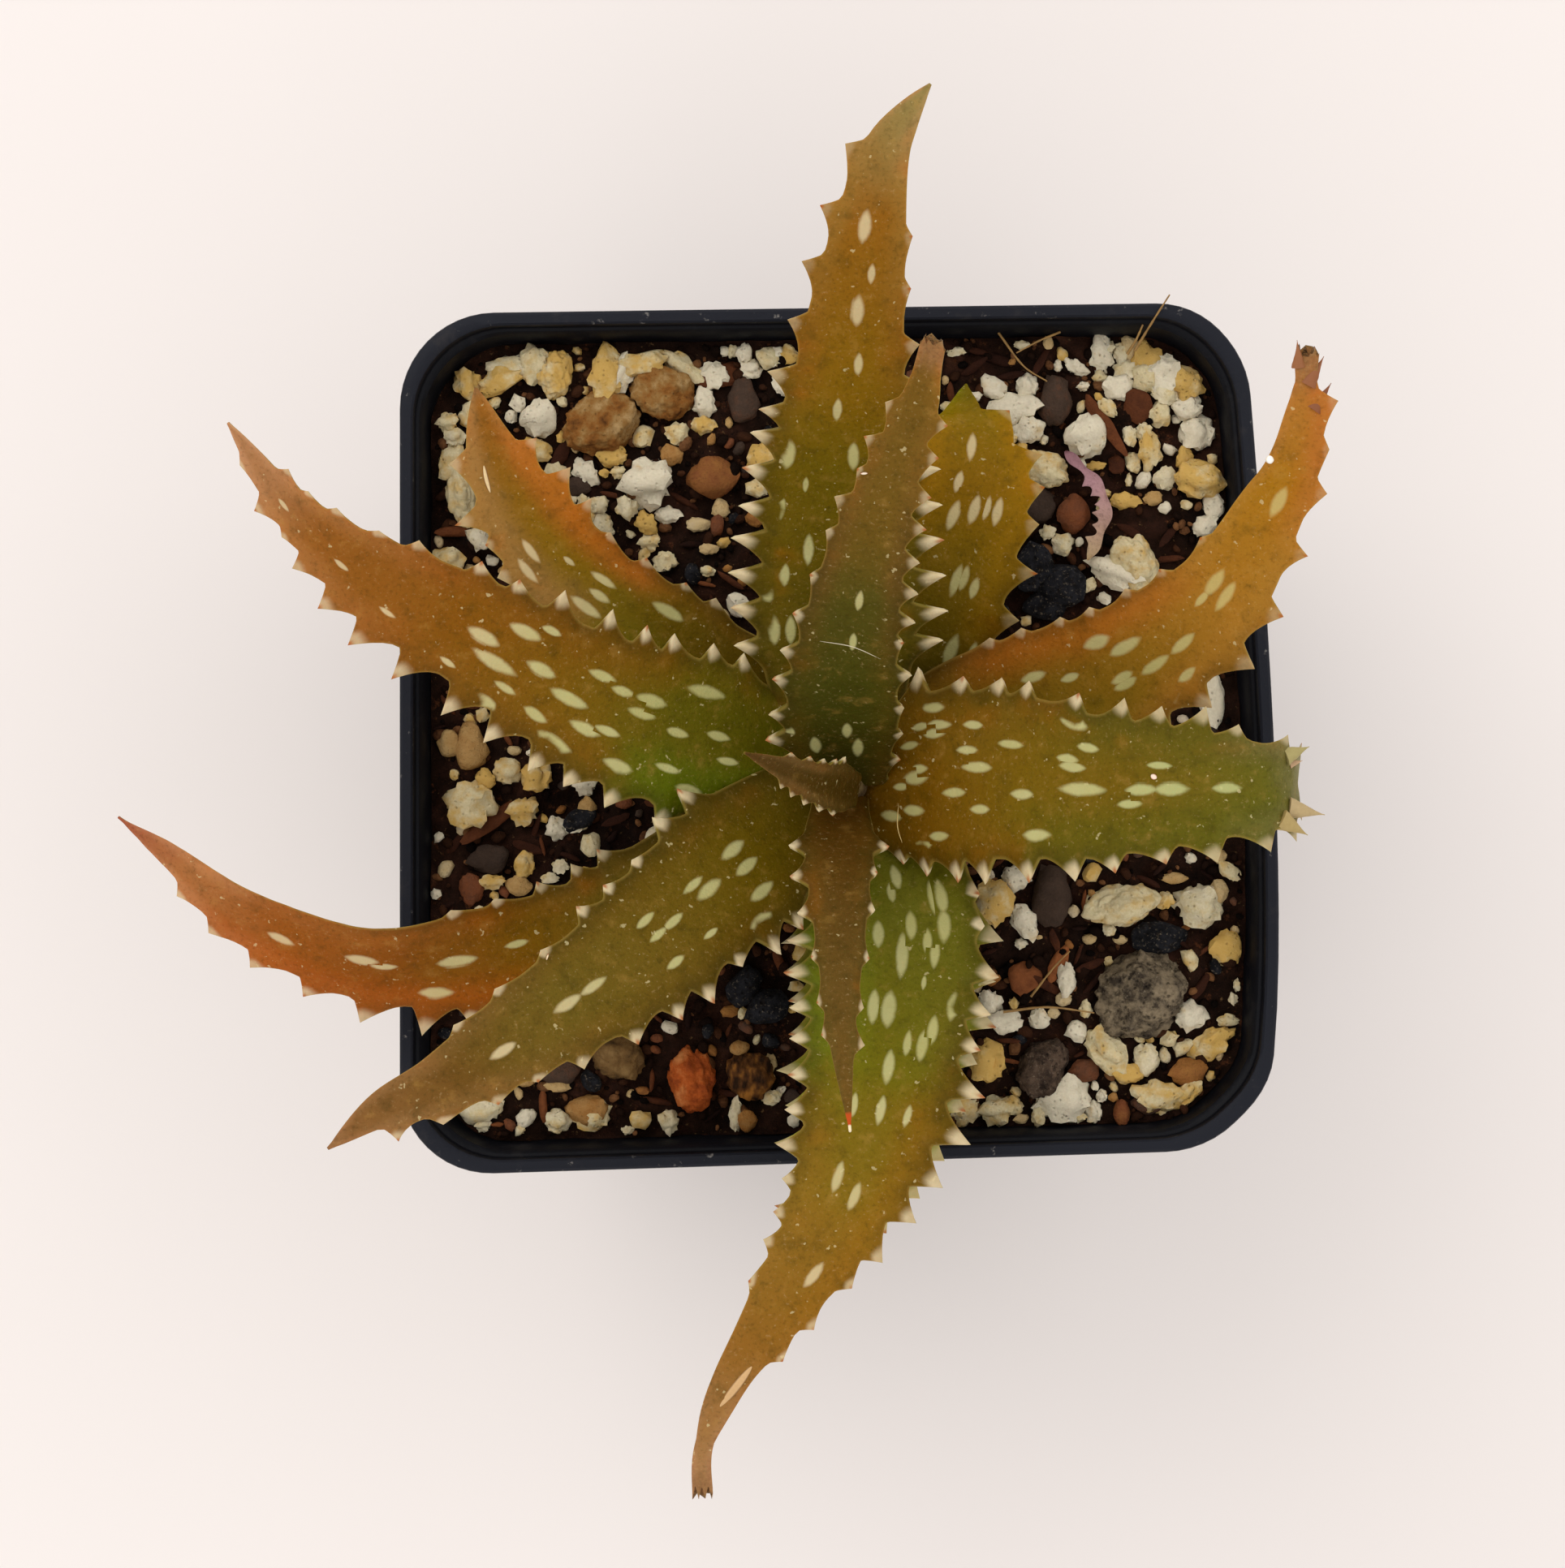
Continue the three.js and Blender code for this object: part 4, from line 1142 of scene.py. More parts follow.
def leafMaterial(name, leaf):
    finish = Finish(name + "_skin")
    tones = leafTones
    share, side, drawn = finish.parts(finish.trait("blade"))
    aside = side.size()
    warmth = finish.trait("warmth", "Fac")
    broad = finish.speckle(5, 3, 0.55)
    mottle = finish.speckle(1.3, 4, 0.6)
    fine = finish.speckle(0.28, 3, 0.6)
    # the blade's own tones, from its middle to its edges, and its tinges
    place = share + 0.12 * (broad - 0.5)
    colour = finish.mix(finish.step(aside + 0.5 * (broad - 0.5), 0.3, 0.95),
                        finish.ramp(place, *leaf["middle"]), finish.ramp(place, *leaf["edge"]))
    for flank, low, high, strength, shade in leaf["casts"]:
        span = finish.step(place, low - 0.08, low + 0.06) * finish.step(place, high + 0.08, high - 0.06)
        flanked = finish.step(side * flank + 0.4 * (mottle - 0.5), 0.0, 0.75)
        colour = finish.mix(span * flanked * strength, colour, shade)
    warmed = finish.step(aside, 0.35, 0.95) * leaf["warm"]
    colour = finish.over(colour, tones["warm"], warmed, broad, 0.52, 0.72)
    colour = finish.over(colour, tones["dark"], 0.34, mottle, 0.5, 0.75)
    colour = finish.over(colour, tones["light"], 0.2, mottle, 0.45, 0.25)
    colour = finish.over(colour, tones["fineDark"], 0.28, fine, 0.52, 0.72)
    colour = finish.over(colour, tones["fineLight"], 0.2, fine, 0.42, 0.24)
    # painted shade: the margins darken on the inner half of each leaf, towards the crown
    colour = finish.over(colour, tones["shade"], finish.step(share, 0.75, 0.5) * 0.45, aside, 0.72, 0.98)
    colour = finish.over(colour, tones["speck"], 0.45, finish.speckle(0.55, 2, 0.5), 0.69, 0.74)
    colour = finish.mix(finish.trait("under", "Fac") * 0.45, colour, tones["under"])
    # flecks, as spindles about their places
    far, wide, nothing = finish.parts(finish.node("ShaderNodeUVMap", {"uv_map": "flecks"}))
    spindle = 1 - far * far - wide.size() ** 1.4 + 0.6 * (mottle - 0.5) + 0.3 * (fine - 0.5)
    fleck = finish.mix(finish.step(share, 0.4, 0.7),
                       finish.mix(broad, tones["fleckDull"], tones["fleckClear"]), leaf["fleckTone"])
    colour = finish.over(colour, fleck, finish.step(drawn, 0.12, 0.02) * 0.75, spindle, -0.15, 0.65)
    # margin and teeth
    colour = finish.over(colour, tones["margin"], 0.3, aside, 0.94, 1.0)
    near, end = leaf["pale"]
    paleness = near + (end - near) * finish.step(share, 0.4, 0.75)
    ivory = finish.mix(mottle, tones["tooth"], tones["toothDull"])
    colour = finish.over(colour, ivory, paleness, drawn, 0.4, 0.74)
    colour = finish.over(colour, tones["burnt"], finish.step(warmth, 0.5, 0.7) * 0.8, drawn, 0.78, 0.96)
    if leaf["point"]:
        colour = finish.over(colour, leaf["point"], 1, share, 0.955, 0.965)
        colour = finish.over(colour, tones["thorn"], 1, share, 0.985, 0.99)
    if leaf["dry"] < 1:
        frayed = share + 0.03 * (mottle - 0.5)
        dried = finish.mix(fine, tones["dry"], tones["dryDark"])
        colour = finish.over(colour, dried, 0.85, frayed, leaf["dry"] - 0.02, leaf["dry"] + 0.03)
    colour = finish.node("ShaderNodeHueSaturation", {}, {"Saturation": 1.03, "Color": colour})
    rough = 0.36 + 0.16 * mottle + 0.12 * fine
    return finish.coat(colour, rough, 0.6 * fine + 0.4 * mottle, (0.6, 0.16), Subsurface_Weight=0.1,
                       Subsurface_Scale=0.0012, Specular_IOR_Level=0.07)


# Small marks that lie on the leaves

markShape = {"rows": 30, "columns": 16, "fullness": 0.5, "least": 0.02}
searchShape = {"rounds": 4, "steps": 12, "side": 0.95, "closer": 6}     # how onLeaf finds a place

leafMarks = {
    # the leaf, pixels of its route, half width and height in mm, tones at the rim and in the middle
    "scarBottom": ("leaf_bottom", [(887, 1733), (904, 1712), (926, 1684)], 0.3, 0.1, "8a6434", "d0a670"),
    "scarUpper": ("leaf_upper_left", [(596, 574), (599, 590), (604, 607)], 0.17, 0.1, "7a4416", "e8cc96"),
    "beadTop": ("leaf_young_top", [(1056, 577), (1060, 580), (1065, 584)], 0.27, 0.22, "a4582c", "fff2dc"),
    "beadLeft": ("leaf_lower_left", [(667, 1172), (671, 1176), (675, 1180)], 0.25, 0.22, "a84a24", "fbe6bc"),
    # the drop is painted near white: a painted highlight where a water drop catches the light
    "dropGlintRight": (
        "leaf_upper_right", [(1562, 560), (1564, 565), (1566, 571)], 0.3, 0.24, "e8dcc8", "fffdf6"),
    "dotRight": ("leaf_right", [(1418, 955), (1421, 957), (1425, 959)], 0.2, 0.12, "c07a5c", "f6e2cc"),
    "hairRight": ("leaf_right", [(1107, 990), (1106, 1020), (1115, 1047)], 0.05, 0.06, "b08a40", "d8bc78"),
    "threadTop": (
        "leaf_young_top", [(1010, 790), (1050, 797), (1085, 812)], 0.035, 0.05, "b8a888", "d8ccb0"),
}


def onLeaf(name, pixel):
    # the place on a leaf's upper side that the photograph shows at this pixel, searched ever more closely
    leaf, spine, shift = leafBuilt[name]
    shape = searchShape
    steps, widest = shape["steps"], shape["side"]
    aim = Vector(pixel)
    middle, reach = (0.5 * spine.length, 0.0), (0.5 * spine.length, widest)
    for _ in range(shape["rounds"]):
        spots = []
        for i in range(-steps, steps + 1):
            distance = min(max(middle[0] + reach[0] * i / steps, 0), spine.length)
            for j in range(-steps, steps + 1):
                spots.append((distance, min(max(middle[1] + reach[1] * j / steps, -widest), widest)))
        found = [wavedPoint(leaf, spine, shift, d, s, math.sqrt(1 - s * s)) for d, s in spots]
        best = min(range(len(spots)), key=lambda i: (pixelOf(found[i]) - aim).length)
        middle, reach = spots[best], (reach[0] / shape["closer"], reach[1] / shape["closer"])
    return found[best]


def buildMarks():
    shape = markShape
    for name, (on, seen, half, high, rimTone, middleTone) in leafMarks.items():

        def section(share, angle):
            bulge = max(math.sin(math.pi * share), shape["least"]) ** shape["fullness"]
            return half * bulge, high * bulge

        route = Spine([onLeaf(on, pixel) for pixel in seen])
        mark, seats = routedTube(name, route, shape["rows"], shape["columns"], section)
        edges = [abs(math.cos(2 * math.pi * column / shape["columns"])) for row, column in seats]
        keepTrait(mark, "rim", "FLOAT", edges)
        finish = Finish(name + "_skin")
        fine = finish.speckle(0.2, 3)
        colour = finish.mix(fine * 0.3, middleTone, rimTone)
        colour = finish.over(colour, rimTone, 1, finish.trait("rim", "Fac"), 0.6, 0.95)
        finishTube(mark, finish.coat(colour, 0.35 + 0.3 * fine, fine, (0.4, 0.03)), bladeSlot(on))


# Points beyond the leaves' folded or torn ends: leaf, pixels of root and tip, fall in mm, half width, tone

hornShape = {
    "rows": 20, "columns": 12, "sunk": 0.12, "arch": 0.15, "taper": 1.2, "least": 0.04, "flat": 0.5,
    "lumps": 0.1, "lumpRate": 6, "dull": "6a4a20", "dullness": 0.35,
}
hornValues = {
    "hornLong": ("leaf_right", (1588, 996), (1632, 1004), 0.8, 0.8, "b8a070"),
    "hornLow": ("leaf_right", (1578, 1010), (1611, 1029), 1.0, 0.8, "b0985c"),
    "hornHigh": ("leaf_right", (1584, 932), (1613, 920), 0.8, 0.7, "a89c60"),
    "hornSmall": ("leaf_right", (1589, 942), (1605, 937), 0.5, 0.3, "c4a078"),
    "shredLeft": ("leaf_upper_right", (1600, 452), (1598, 419), -0.6, 0.5, "94582c"),
    "shredMiddle": ("leaf_upper_right", (1612, 474), (1631, 439), -0.3, 0.6, "8e5026"),
    "shredRight": ("leaf_upper_right", (1618, 505), (1640, 472), 0.2, 0.6, "84461e"),
}


def buildHorns():
    shape = hornShape
    for name, (on, root, tip, fall, half, shade) in hornValues.items():

        def section(share, angle):
            lump = noise.noise(Vector((share * shape["lumpRate"], angle, half)))
            size = half * max((1 - share) ** shape["taper"], shape["least"]) * (1 + shape["lumps"] * lump)
            return size, size * shape["flat"]

        start = onLeaf(on, root) - Vector((0, 0, shape["sunk"]))
        end = seenAt(tip, start.z - fall)
        route = Spine([start, (start + end) / 2 + Vector((0, 0, shape["arch"])), end])
        horn, seats = routedTube(name, route, shape["rows"], shape["columns"], section)
        finish = Finish(name + "_skin")
        fine = finish.speckle(0.3, 3)
        colour = finish.mix(fine, shade, finish.mix(shape["dullness"], shade, shape["dull"]))
        finishTube(horn, finish.coat(colour, 0.5 + 0.2 * fine, fine, (0.4, 0.03)), bladeSlot(on))


# Soil: a bed of dark gritty peat, with crumbs, bark, gravel and perlite lying in it

soilValues = {
    "height": 56.0, "relief": 0.55, "cells": 150, "waist": 30.0, "foot": 1.75, "clear": 0.06,
    "crown": (0.5, -3.5), "seed": 41, "smooth": 60, "sunk": 0.25,
    "lumps": [(0.9, 0.35), (2.1, 0.22)],      # rate per mm and height in mm
}

soilSkin = {
    "noises": {"broad": (3.2, 5, 0.65), "grit": (0.5, 4, 0.7), "fibre": (1.1, 6, 0.75)},
    "tones": [(0.3, "0e0704"), (0.5, "20120b"), (0.62, "2e1a12"), (0.75, "452a1c")],
    "over": [
        ("fibre", 0.58, 0.7, 0.6, "643a22"), ("grit", 0.62, 0.75, 0.5, "8c6c48"),
        ("grit", 0.42, 0.3, 0.7, "080403"),
    ],
    "rough": ("grit", 0.75, 0.2), "bumps": {"broad": 0.5, "grit": 0.5}, "relief": (0.9, 0.5), "gloss": 0.06,
}


def soilTopAt(x, y):
    wave = math.sin(x * 0.61 + 1.3) * math.cos(y * 0.53) + 0.7 * math.sin(x * 0.27 - y * 0.71 + 0.4)
    grit = 0.6 * math.sin(x * 1.9 + y * 0.8) * math.cos(y * 1.7 - x * 0.6)
    return soilValues["height"] + soilValues["relief"] * (wave + grit) * 0.6


def soilWidthAt(z):
    return potWidthAt(z) - 2 * potValues["wall"] - 2 * soilValues["clear"]


def insidePot(x, y, room):
    # whether a point on the plan lies at least this far inside the pot's inner wall at the soil
    half = soilWidthAt(soilValues["height"]) / 2 - room
    rise = soilValues["height"] / potValues["height"]
    x -= potValues["lean"] * rise
    y -= potValues["slope"] * x * rise
    if x > 0:
        x -= (bowAt(y / half) * potValues["bow"] - y / half * potValues["skew"]) * rise
    radius = soilWidthAt(soilValues["height"]) / 2 * potValues["roundness"] - room
    corner = Vector((max(abs(x) - half + radius, 0), max(abs(y) - half + radius, 0)))
    return corner.length < radius


def roundedIn(x, y):
    # how far a point of a square from -1 to 1 moves inward, so that the corners come out round
    straight = 1 - potValues["roundness"]
    edge = max(abs(x), abs(y))
    if edge == 0:
        return 1
    corner = Vector((max(abs(x) / edge - straight, 0), max(abs(y) / edge - straight, 0)))
    over = max(corner.length - potValues["roundness"], 0)
    return 1 - over / math.hypot(1, min(abs(x), abs(y)) / max(edge, 0.001)) * edge ** 3


def buildSoilBed(values):
    letGo()
    cells, top, waist = values["cells"], values["height"], values["waist"]
    bpy.ops.mesh.primitive_grid_add(x_subdivisions=cells, y_subdivisions=cells, size=2)
    bed = bpy.context.object
    bed.name = "soilBed"
    for vertex in bed.data.vertices:
        x, y = vertex.co.x, vertex.co.y
        pull = roundedIn(x, y)
        point = potPoint(x * pull, y * pull, soilWidthAt(top), top)
        lumps = sum(height * noise.noise(point * rate) for rate, height in values["lumps"])
        point.z = soilTopAt(point.x, point.y) + lumps - values["sunk"]
        vertex.co = point * mm
    bpy.ops.object.mode_set(mode="EDIT")
    bpy.ops.mesh.select_all(action="SELECT")
    bpy.ops.mesh.region_to_loop()
    for high, low in ((top, waist), (waist, values["foot"])):
        bpy.ops.mesh.extrude_region_move(TRANSFORM_OT_translate={"value": (0, 0, -20 * mm)})
        shrink = soilWidthAt(low) / soilWidthAt(high)
        bpy.ops.transform.resize(value=(shrink, shrink, 0), center_override=(0, 0, low * mm))
    bpy.ops.mesh.edge_face_add()
    bpy.ops.mesh.select_all(action="SELECT")
    bpy.ops.mesh.normals_make_consistent(inside=False)
    bpy.ops.object.mode_set(mode="OBJECT")
    smoothed(bed, values["smooth"])
    dress(bed, evenSkin("soilBed", soilSkin), "soil_mix", "soil")


# Grains seen in the photograph: middle, half length and half width in pixels, and the long axis's turn in
# degrees, rising to the right. Shade runs from white (0) to yellow (1).
grainsSeen = {
    "perlite": [
        (590, 440, 27, 15, 20, 0.7), (632, 428, 15, 13, 0, 0.1), (626, 454, 21, 13, 0, 0.3),
        (575, 470, 17, 15, 90, 0.7), (577, 512, 14, 11, 90, 0.4), (661, 450, 22, 17, 90, 0.4),
        (735, 442, 33, 17, 80, 0.8), (776, 422, 27, 14, 5, 0.6), (831, 426, 29, 13, -40, 0.5),
        (763, 460, 26, 14, 60, 0.2), (664, 515, 23, 20, 90, 0.1), (879, 461, 17, 16, 0, 0),
        (868, 496, 18, 12, 90, 0), (866, 524, 14, 10, 0, 0.7), (835, 534, 13, 12, 0, 0.4),
        (895, 402, 8, 7, 0, 0.3), (887, 412, 6, 6, 0, 0.2), (912, 415, 11, 9, 90, 0.2),
        (944, 422, 13, 12, 0, 0.4), (968, 417, 12, 11, 0, 0.8), (925, 454, 12, 11, 0, 0.2),
        (966, 473, 17, 11, -50, 0.1), (942, 567, 21, 20, 0, 0.8), (800, 595, 28, 27, 0, 0.1),
        (754, 562, 16, 12, 0, 0.8), (762, 581, 8, 7, 0, 0.4), (721, 582, 18, 12, -55, 0.1),
        (662, 555, 16, 12, -30, 0.8), (684, 583, 14, 13, 0, 0.4), (703, 617, 8, 8, 0, 0.3),
        (720, 620, 11, 9, 90, 0.3), (737, 623, 11, 10, 0, 0.3), (724, 634, 9, 9, 0, 0.5),
        (772, 624, 13, 12, 90, 0.3), (742, 648, 16, 12, 90, 0.3), (822, 634, 15, 10, 0, 0.1),
        (796, 645, 14, 11, -60, 1), (801, 667, 12, 10, 0, 0.5), (820, 691, 13, 12, 0, 0.4),
        (872, 704, 8, 6, 0, 0.4), (950, 443, 11, 8, 0, 0.2), (957, 435, 7, 7, 0, 0.2),
        (543, 512, 12, 10, 0, 0.4), (548, 560, 20, 14, 70, 0.5), (553, 690, 18, 14, 0, 0.5),
        (560, 538, 12, 10, 0, 0.3), (1358, 435, 24, 13, 90, 0.1), (1377, 409, 12, 10, 0, 0.3),
        (1381, 432, 11, 8, 90, 0.3), (1426, 440, 28, 16, -65, 0.9), (1459, 430, 23, 21, 0, 0.1),
        (1472, 463, 19, 18, 90, 0.8), (1390, 454, 15, 12, 0, 0.3), (1413, 466, 17, 15, 90, 0.4),
        (1377, 479, 17, 15, 0, 0.1), (1327, 452, 15, 8, -30, 0.1), (1304, 450, 7, 5, 90, 0.2),
        (1336, 475, 7, 5, 0, 0.2), (1365, 502, 13, 8, -40, 0.3), (1266, 474, 13, 12, 90, 0.2),
        (1224, 478, 15, 12, -40, 0.2), (1201, 488, 8, 5, 0, 0.2), (1246, 506, 31, 19, 15, 0.1),
        (1267, 530, 18, 15, 0, 0.2), (1337, 537, 25, 23, 90, 0.2), (1437, 486, 15, 11, 0, 0.3),
        (1428, 509, 14, 13, 90, 0.4), (1464, 502, 16, 14, 0, 0.2), (1451, 515, 6, 5, 0, 0.2),
        (1476, 531, 20, 19, 90, 0.1), (1393, 537, 12, 8, 90, 0.3), (1409, 531, 11, 9, 90, 0.3),
        (1417, 553, 22, 13, 90, 0.6), (1398, 569, 12, 9, 90, 0.4), (1436, 589, 14, 13, 90, 0.3),
        (1461, 566, 15, 11, 90, 1), (1487, 585, 28, 20, -10, 0.8), (1351, 573, 11, 5, 0, 0.8),
        (1392, 592, 8, 4, 90, 0.4), (1386, 617, 17, 10, 0, 1), (1506, 617, 14, 12, 90, 0.2),
        (1485, 648, 15, 12, 40, 0.1), (1378, 707, 32, 16, -25, 0.1), (1309, 671, 12, 12, 0, 0.3),
        (1291, 656, 9, 8, 0, 0.3), (1472, 692, 8, 5, 0, 0.4), (1268, 405, 9, 5, 0, 0.3),
        (1188, 403, 10, 6, 0, 0.3), (1251, 1083, 16, 15, 0, 0.1), (1226, 1110, 26, 20, 90, 0.7),
        (1261, 1135, 22, 14, -60, 0.2), (1258, 1163, 7, 6, 0, 0.2), (1437, 1109, 10, 10, 0, 0.8),
        (1480, 1116, 28, 23, 0, 0.3), (1515, 1074, 14, 8, -40, 0.4), (1367, 1146, 7, 7, 0, 0.3),
        (1520, 1173, 20, 18, 90, 0.9), (1315, 1206, 18, 10, 90, 0.1), (1220, 1235, 15, 13, 90, 0.1),
        (1240, 1260, 18, 13, 0, 0.1), (1281, 1255, 12, 12, 0, 0.1), (1338, 1244, 10, 7, 90, 0.4),
        (1467, 1252, 18, 17, 0, 0.2), (1530, 1237, 7, 5, 90, 0.3), (1515, 1258, 12, 7, 0, 0.4),
        (1502, 1293, 28, 15, 35, 0.8), (1364, 1295, 29, 19, -50, 0.4), (1391, 1324, 17, 11, 0, 0.9),
        (1414, 1304, 17, 14, 90, 0.3), (1216, 1307, 23, 20, 90, 0.9), (1317, 1364, 32, 25, 15, 0.1),
        (1430, 1351, 31, 17, -8, 0.6), (1479, 1367, 21, 10, 40, 0.6), (1451, 1384, 9, 5, 40, 0.5),
        (1348, 1371, 12, 9, 90, 0.2), (1358, 1351, 7, 6, 90, 0.2), (1279, 1376, 10, 8, 90, 0.4),
        (1226, 1369, 13, 13, 0, 0.4), (1249, 1363, 11, 11, 0, 0.4), (1239, 1387, 20, 16, 0, 0.4),
        (1196, 1384, 20, 17, 90, 0.6), (1342, 1396, 8, 6, 0, 0.3), (1525, 1214, 7, 4, 90, 0.3),
        (1535, 860, 30, 14, 90, 0.1), (598, 960, 12, 12, 0, 0.8), (626, 950, 17, 14, 0, 0.4),
        (661, 956, 18, 17, 90, 0.8), (582, 989, 27, 26, 0, 0.5), (646, 998, 17, 16, 0, 0.7),
        (722, 965, 13, 13, 0, 0.1), (685, 1021, 14, 12, 90, 0.2), (709, 1017, 12, 9, 0, 0.2),
        (646, 1065, 14, 11, 90, 0.8), (606, 1087, 16, 8, 0, 0.6), (691, 1067, 9, 8, 0, 0.3),
        (678, 1082, 10, 6, 0, 0.3), (517, 1109, 6, 6, 0, 0.1), (519, 1037, 6, 6, 0, 0.1),
        (680, 1392, 14, 13, 0, 0.3), (709, 1403, 23, 17, 0, 0.5), (582, 1370, 26, 22, 0, 0.3),
        (815, 1401, 11, 11, 0, 0.3), (824, 1385, 12, 8, 90, 0.3), (902, 1394, 19, 8, 90, 0.3),
        (587, 1396, 9, 7, 0, 0.3), (763, 1413, 7, 5, 0, 0.3), (624, 1413, 6, 6, 0, 0.3),
        (950, 1353, 12, 8, 0, 0.3)],
    "gravel": [
        (879, 590, 32, 25, 10, 0.45), (887, 626, 12, 11, 90, 0.8), (860, 645, 15, 9, 0, 0.85),
        (873, 676, 12, 7, 0, 0.8), (828, 560, 14, 14, 0, 0.6), (932, 638, 12, 12, 0, 0.5),
        (916, 492, 32, 18, 90, 0.2), (712, 599, 16, 12, 0, 0.15), (1400, 416, 15, 11, 90, 0.85),
        (1297, 412, 9, 7, 90, 0.8), (1421, 614, 11, 9, 0, 0.7), (1300, 492, 31, 21, 90, 0.2),
        (1279, 625, 27, 20, 20, 0.1), (1325, 633, 24, 20, 90, 0.35), (1296, 1103, 38, 25, 90, 0.15),
        (1503, 1097, 14, 12, 90, 0.8), (1447, 1083, 18, 7, 0, 0.7), (1324, 1123, 8, 7, 90, 0.9),
        (1381, 1159, 9, 6, 0, 0.8), (1311, 1232, 10, 9, 0, 0.85), (1299, 1249, 8, 6, 0, 0.85),
        (1337, 1321, 18, 15, 0, 0.3), (1269, 1399, 9, 6, 0, 0.8), (1390, 1380, 16, 11, 90, 0.4),
        (1431, 1380, 20, 13, 0, 0.25), (1467, 1321, 23, 17, 0, 0.5), (1372, 1353, 6, 6, 0, 0.6),
        (545, 917, 18, 16, 90, 0.7), (580, 921, 31, 20, 90, 0.65), (569, 1022, 8, 7, 0, 0.9),
        (724, 995, 14, 11, 90, 0.7), (639, 1093, 16, 13, 0, 0.7), (604, 1059, 24, 18, 0, 0.1),
        (580, 1095, 20, 16, 90, 0.35), (691, 1318, 25, 18, 0, 0.2), (689, 1337, 17, 9, 0, 0.75),
        (724, 1368, 26, 20, 0, 0.6), (916, 1400, 14, 13, 90, 0.55), (646, 1333, 13, 8, 0, 0.7),
        (950, 1315, 15, 8, 90, 0.8), (1281, 1155, 4, 3, 0, 0.8), (1532, 1152, 7, 6, 90, 0.8),
        (1523, 1316, 9, 5, 90, 0.8)],
    "bark": [
        (883, 433, 34, 14, 15, 0.6), (1360, 522, 47, 9, -56, 0.7), (1377, 571, 12, 10, 90, 0.5),
        (1402, 499, 21, 17, 90, 0.6), (1305, 1189, 26, 10, 65, 0.9), (1262, 1206, 22, 20, 0, 0.8),
        (613, 1006, 55, 10, 37, 0.6), (690, 560, 22, 9, 60, 0.4), (1232, 432, 24, 6, -20, 0.2),
        (1200, 452, 20, 5, 35, 0.3), (1175, 432, 16, 5, -50, 0.25), (1283, 444, 22, 5, 62, 0.35),
        (1246, 462, 18, 5, 10, 0.2), (1214, 402, 15, 4, -10, 0.4), (1395, 655, 20, 6, -30, 0.4),
        (1440, 660, 16, 5, 50, 0.3), (1300, 1160, 18, 5, -70, 0.5), (1345, 1190, 20, 5, 20, 0.45),
        (1290, 1215, 24, 6, -30, 0.5), (1480, 1215, 18, 6, 60, 0.35), (560, 1040, 18, 5, 50, 0.4),
        (650, 1045, 20, 6, -20, 0.4), (760, 1010, 18, 5, 20, 0.3)],
    "lava": [
        (1272, 700, 30, 26, 80, 0), (1306, 722, 32, 28, 20, 0), (1288, 745, 26, 20, 0, 0.05),
        (1427, 1155, 34, 22, 0, 0.1), (917, 1216, 26, 20, 60, 0), (944, 1240, 28, 22, 20, 0.05),
        (715, 1010, 22, 15, 30, 0.1)],
}

# How each kind of grain is shaped, and scattered where the photograph shows none: how many, smallest and
# largest half size in mm, flatness, depth as a share of its height, shades and roughness of its lumps
scatter = {
    "lava": {"count": 60, "size": (0.5, 1.3), "flat": 0.75, "sunk": 0.2, "shades": (0, 0.5), "rough": 0.36},
    "perlite": {
        "count": 240, "size": (0.35, 1.15), "flat": 0.75, "sunk": 0.1, "shades": (0, 0.9), "rough": 0.62,
        "planes": 0, "crowded": 0.45, "crowds": [((-22, 22), 9.0), ((22, 22), 9.0), ((24, -24), 5.0)],
    },
    "gravel": {"count": 280, "size": (0.35, 1.0), "flat": 0.7, "sunk": 0.2, "shades": (0, 1), "rough": 0.45},
    "bark": {
        "count": 240, "size": (0.4, 1.2), "flat": 0.35, "sunk": 0.1, "shades": (0, 0.8), "rough": 0.27,
        "long": (1.2, 2.6), "wide": 0.45,
    },
    "crumb": {
        "count": 1700, "size": (0.18, 0.6), "flat": 0.7, "sunk": 0.15, "shades": (0, 1), "rough": 0.3,
        "slack": 0.45,
    },
}
# length and width of a grain for its size, how close it lies to others, and the planes that cut it
grainDefaults = {"long": (1, 1.3), "wide": 0.85, "slack": 0.85, "planes": 13}
grainValues = {
    "across": (-30, 32), "down": (-31, 31), "smallness": 1.8, "tilt": 0.4, "cell": 4, "tries": 30,
    "crownRoom": 3.4, "room": 0.95, "lift": -0.1, "smooth": 55,
    "coarse": 2, "fine": 3, "shapes": 9, "firstSeed": 1, "firstFineSeed": 20,
    # grains seen: growth, heights, tilt, room at the wall, lift, and the half size that asks for detail
    "seen": {
        "grown": 1.1, "above": 0.6, "heights": (0.85, 1.1), "tilt": 0.25, "room": 0.9, "inward": 0.98,
        "lift": 0.35, "detailed": 0.45,
    },
}
stoneRoom = 0.9     # share of a large stone's half size that grains keep clear

lumpValues = {
    "shift": (7.3, 3.1, 5.7), "size": 0.95, "bulge": (0.7, 1.2), "lobes": (0.9, 2.1), "base": -0.2,
    "knobs": (0.12, 4), "grit": (0.05, 9), "planes": (0.72, 0.98), "leastSlope": 0.3,
}


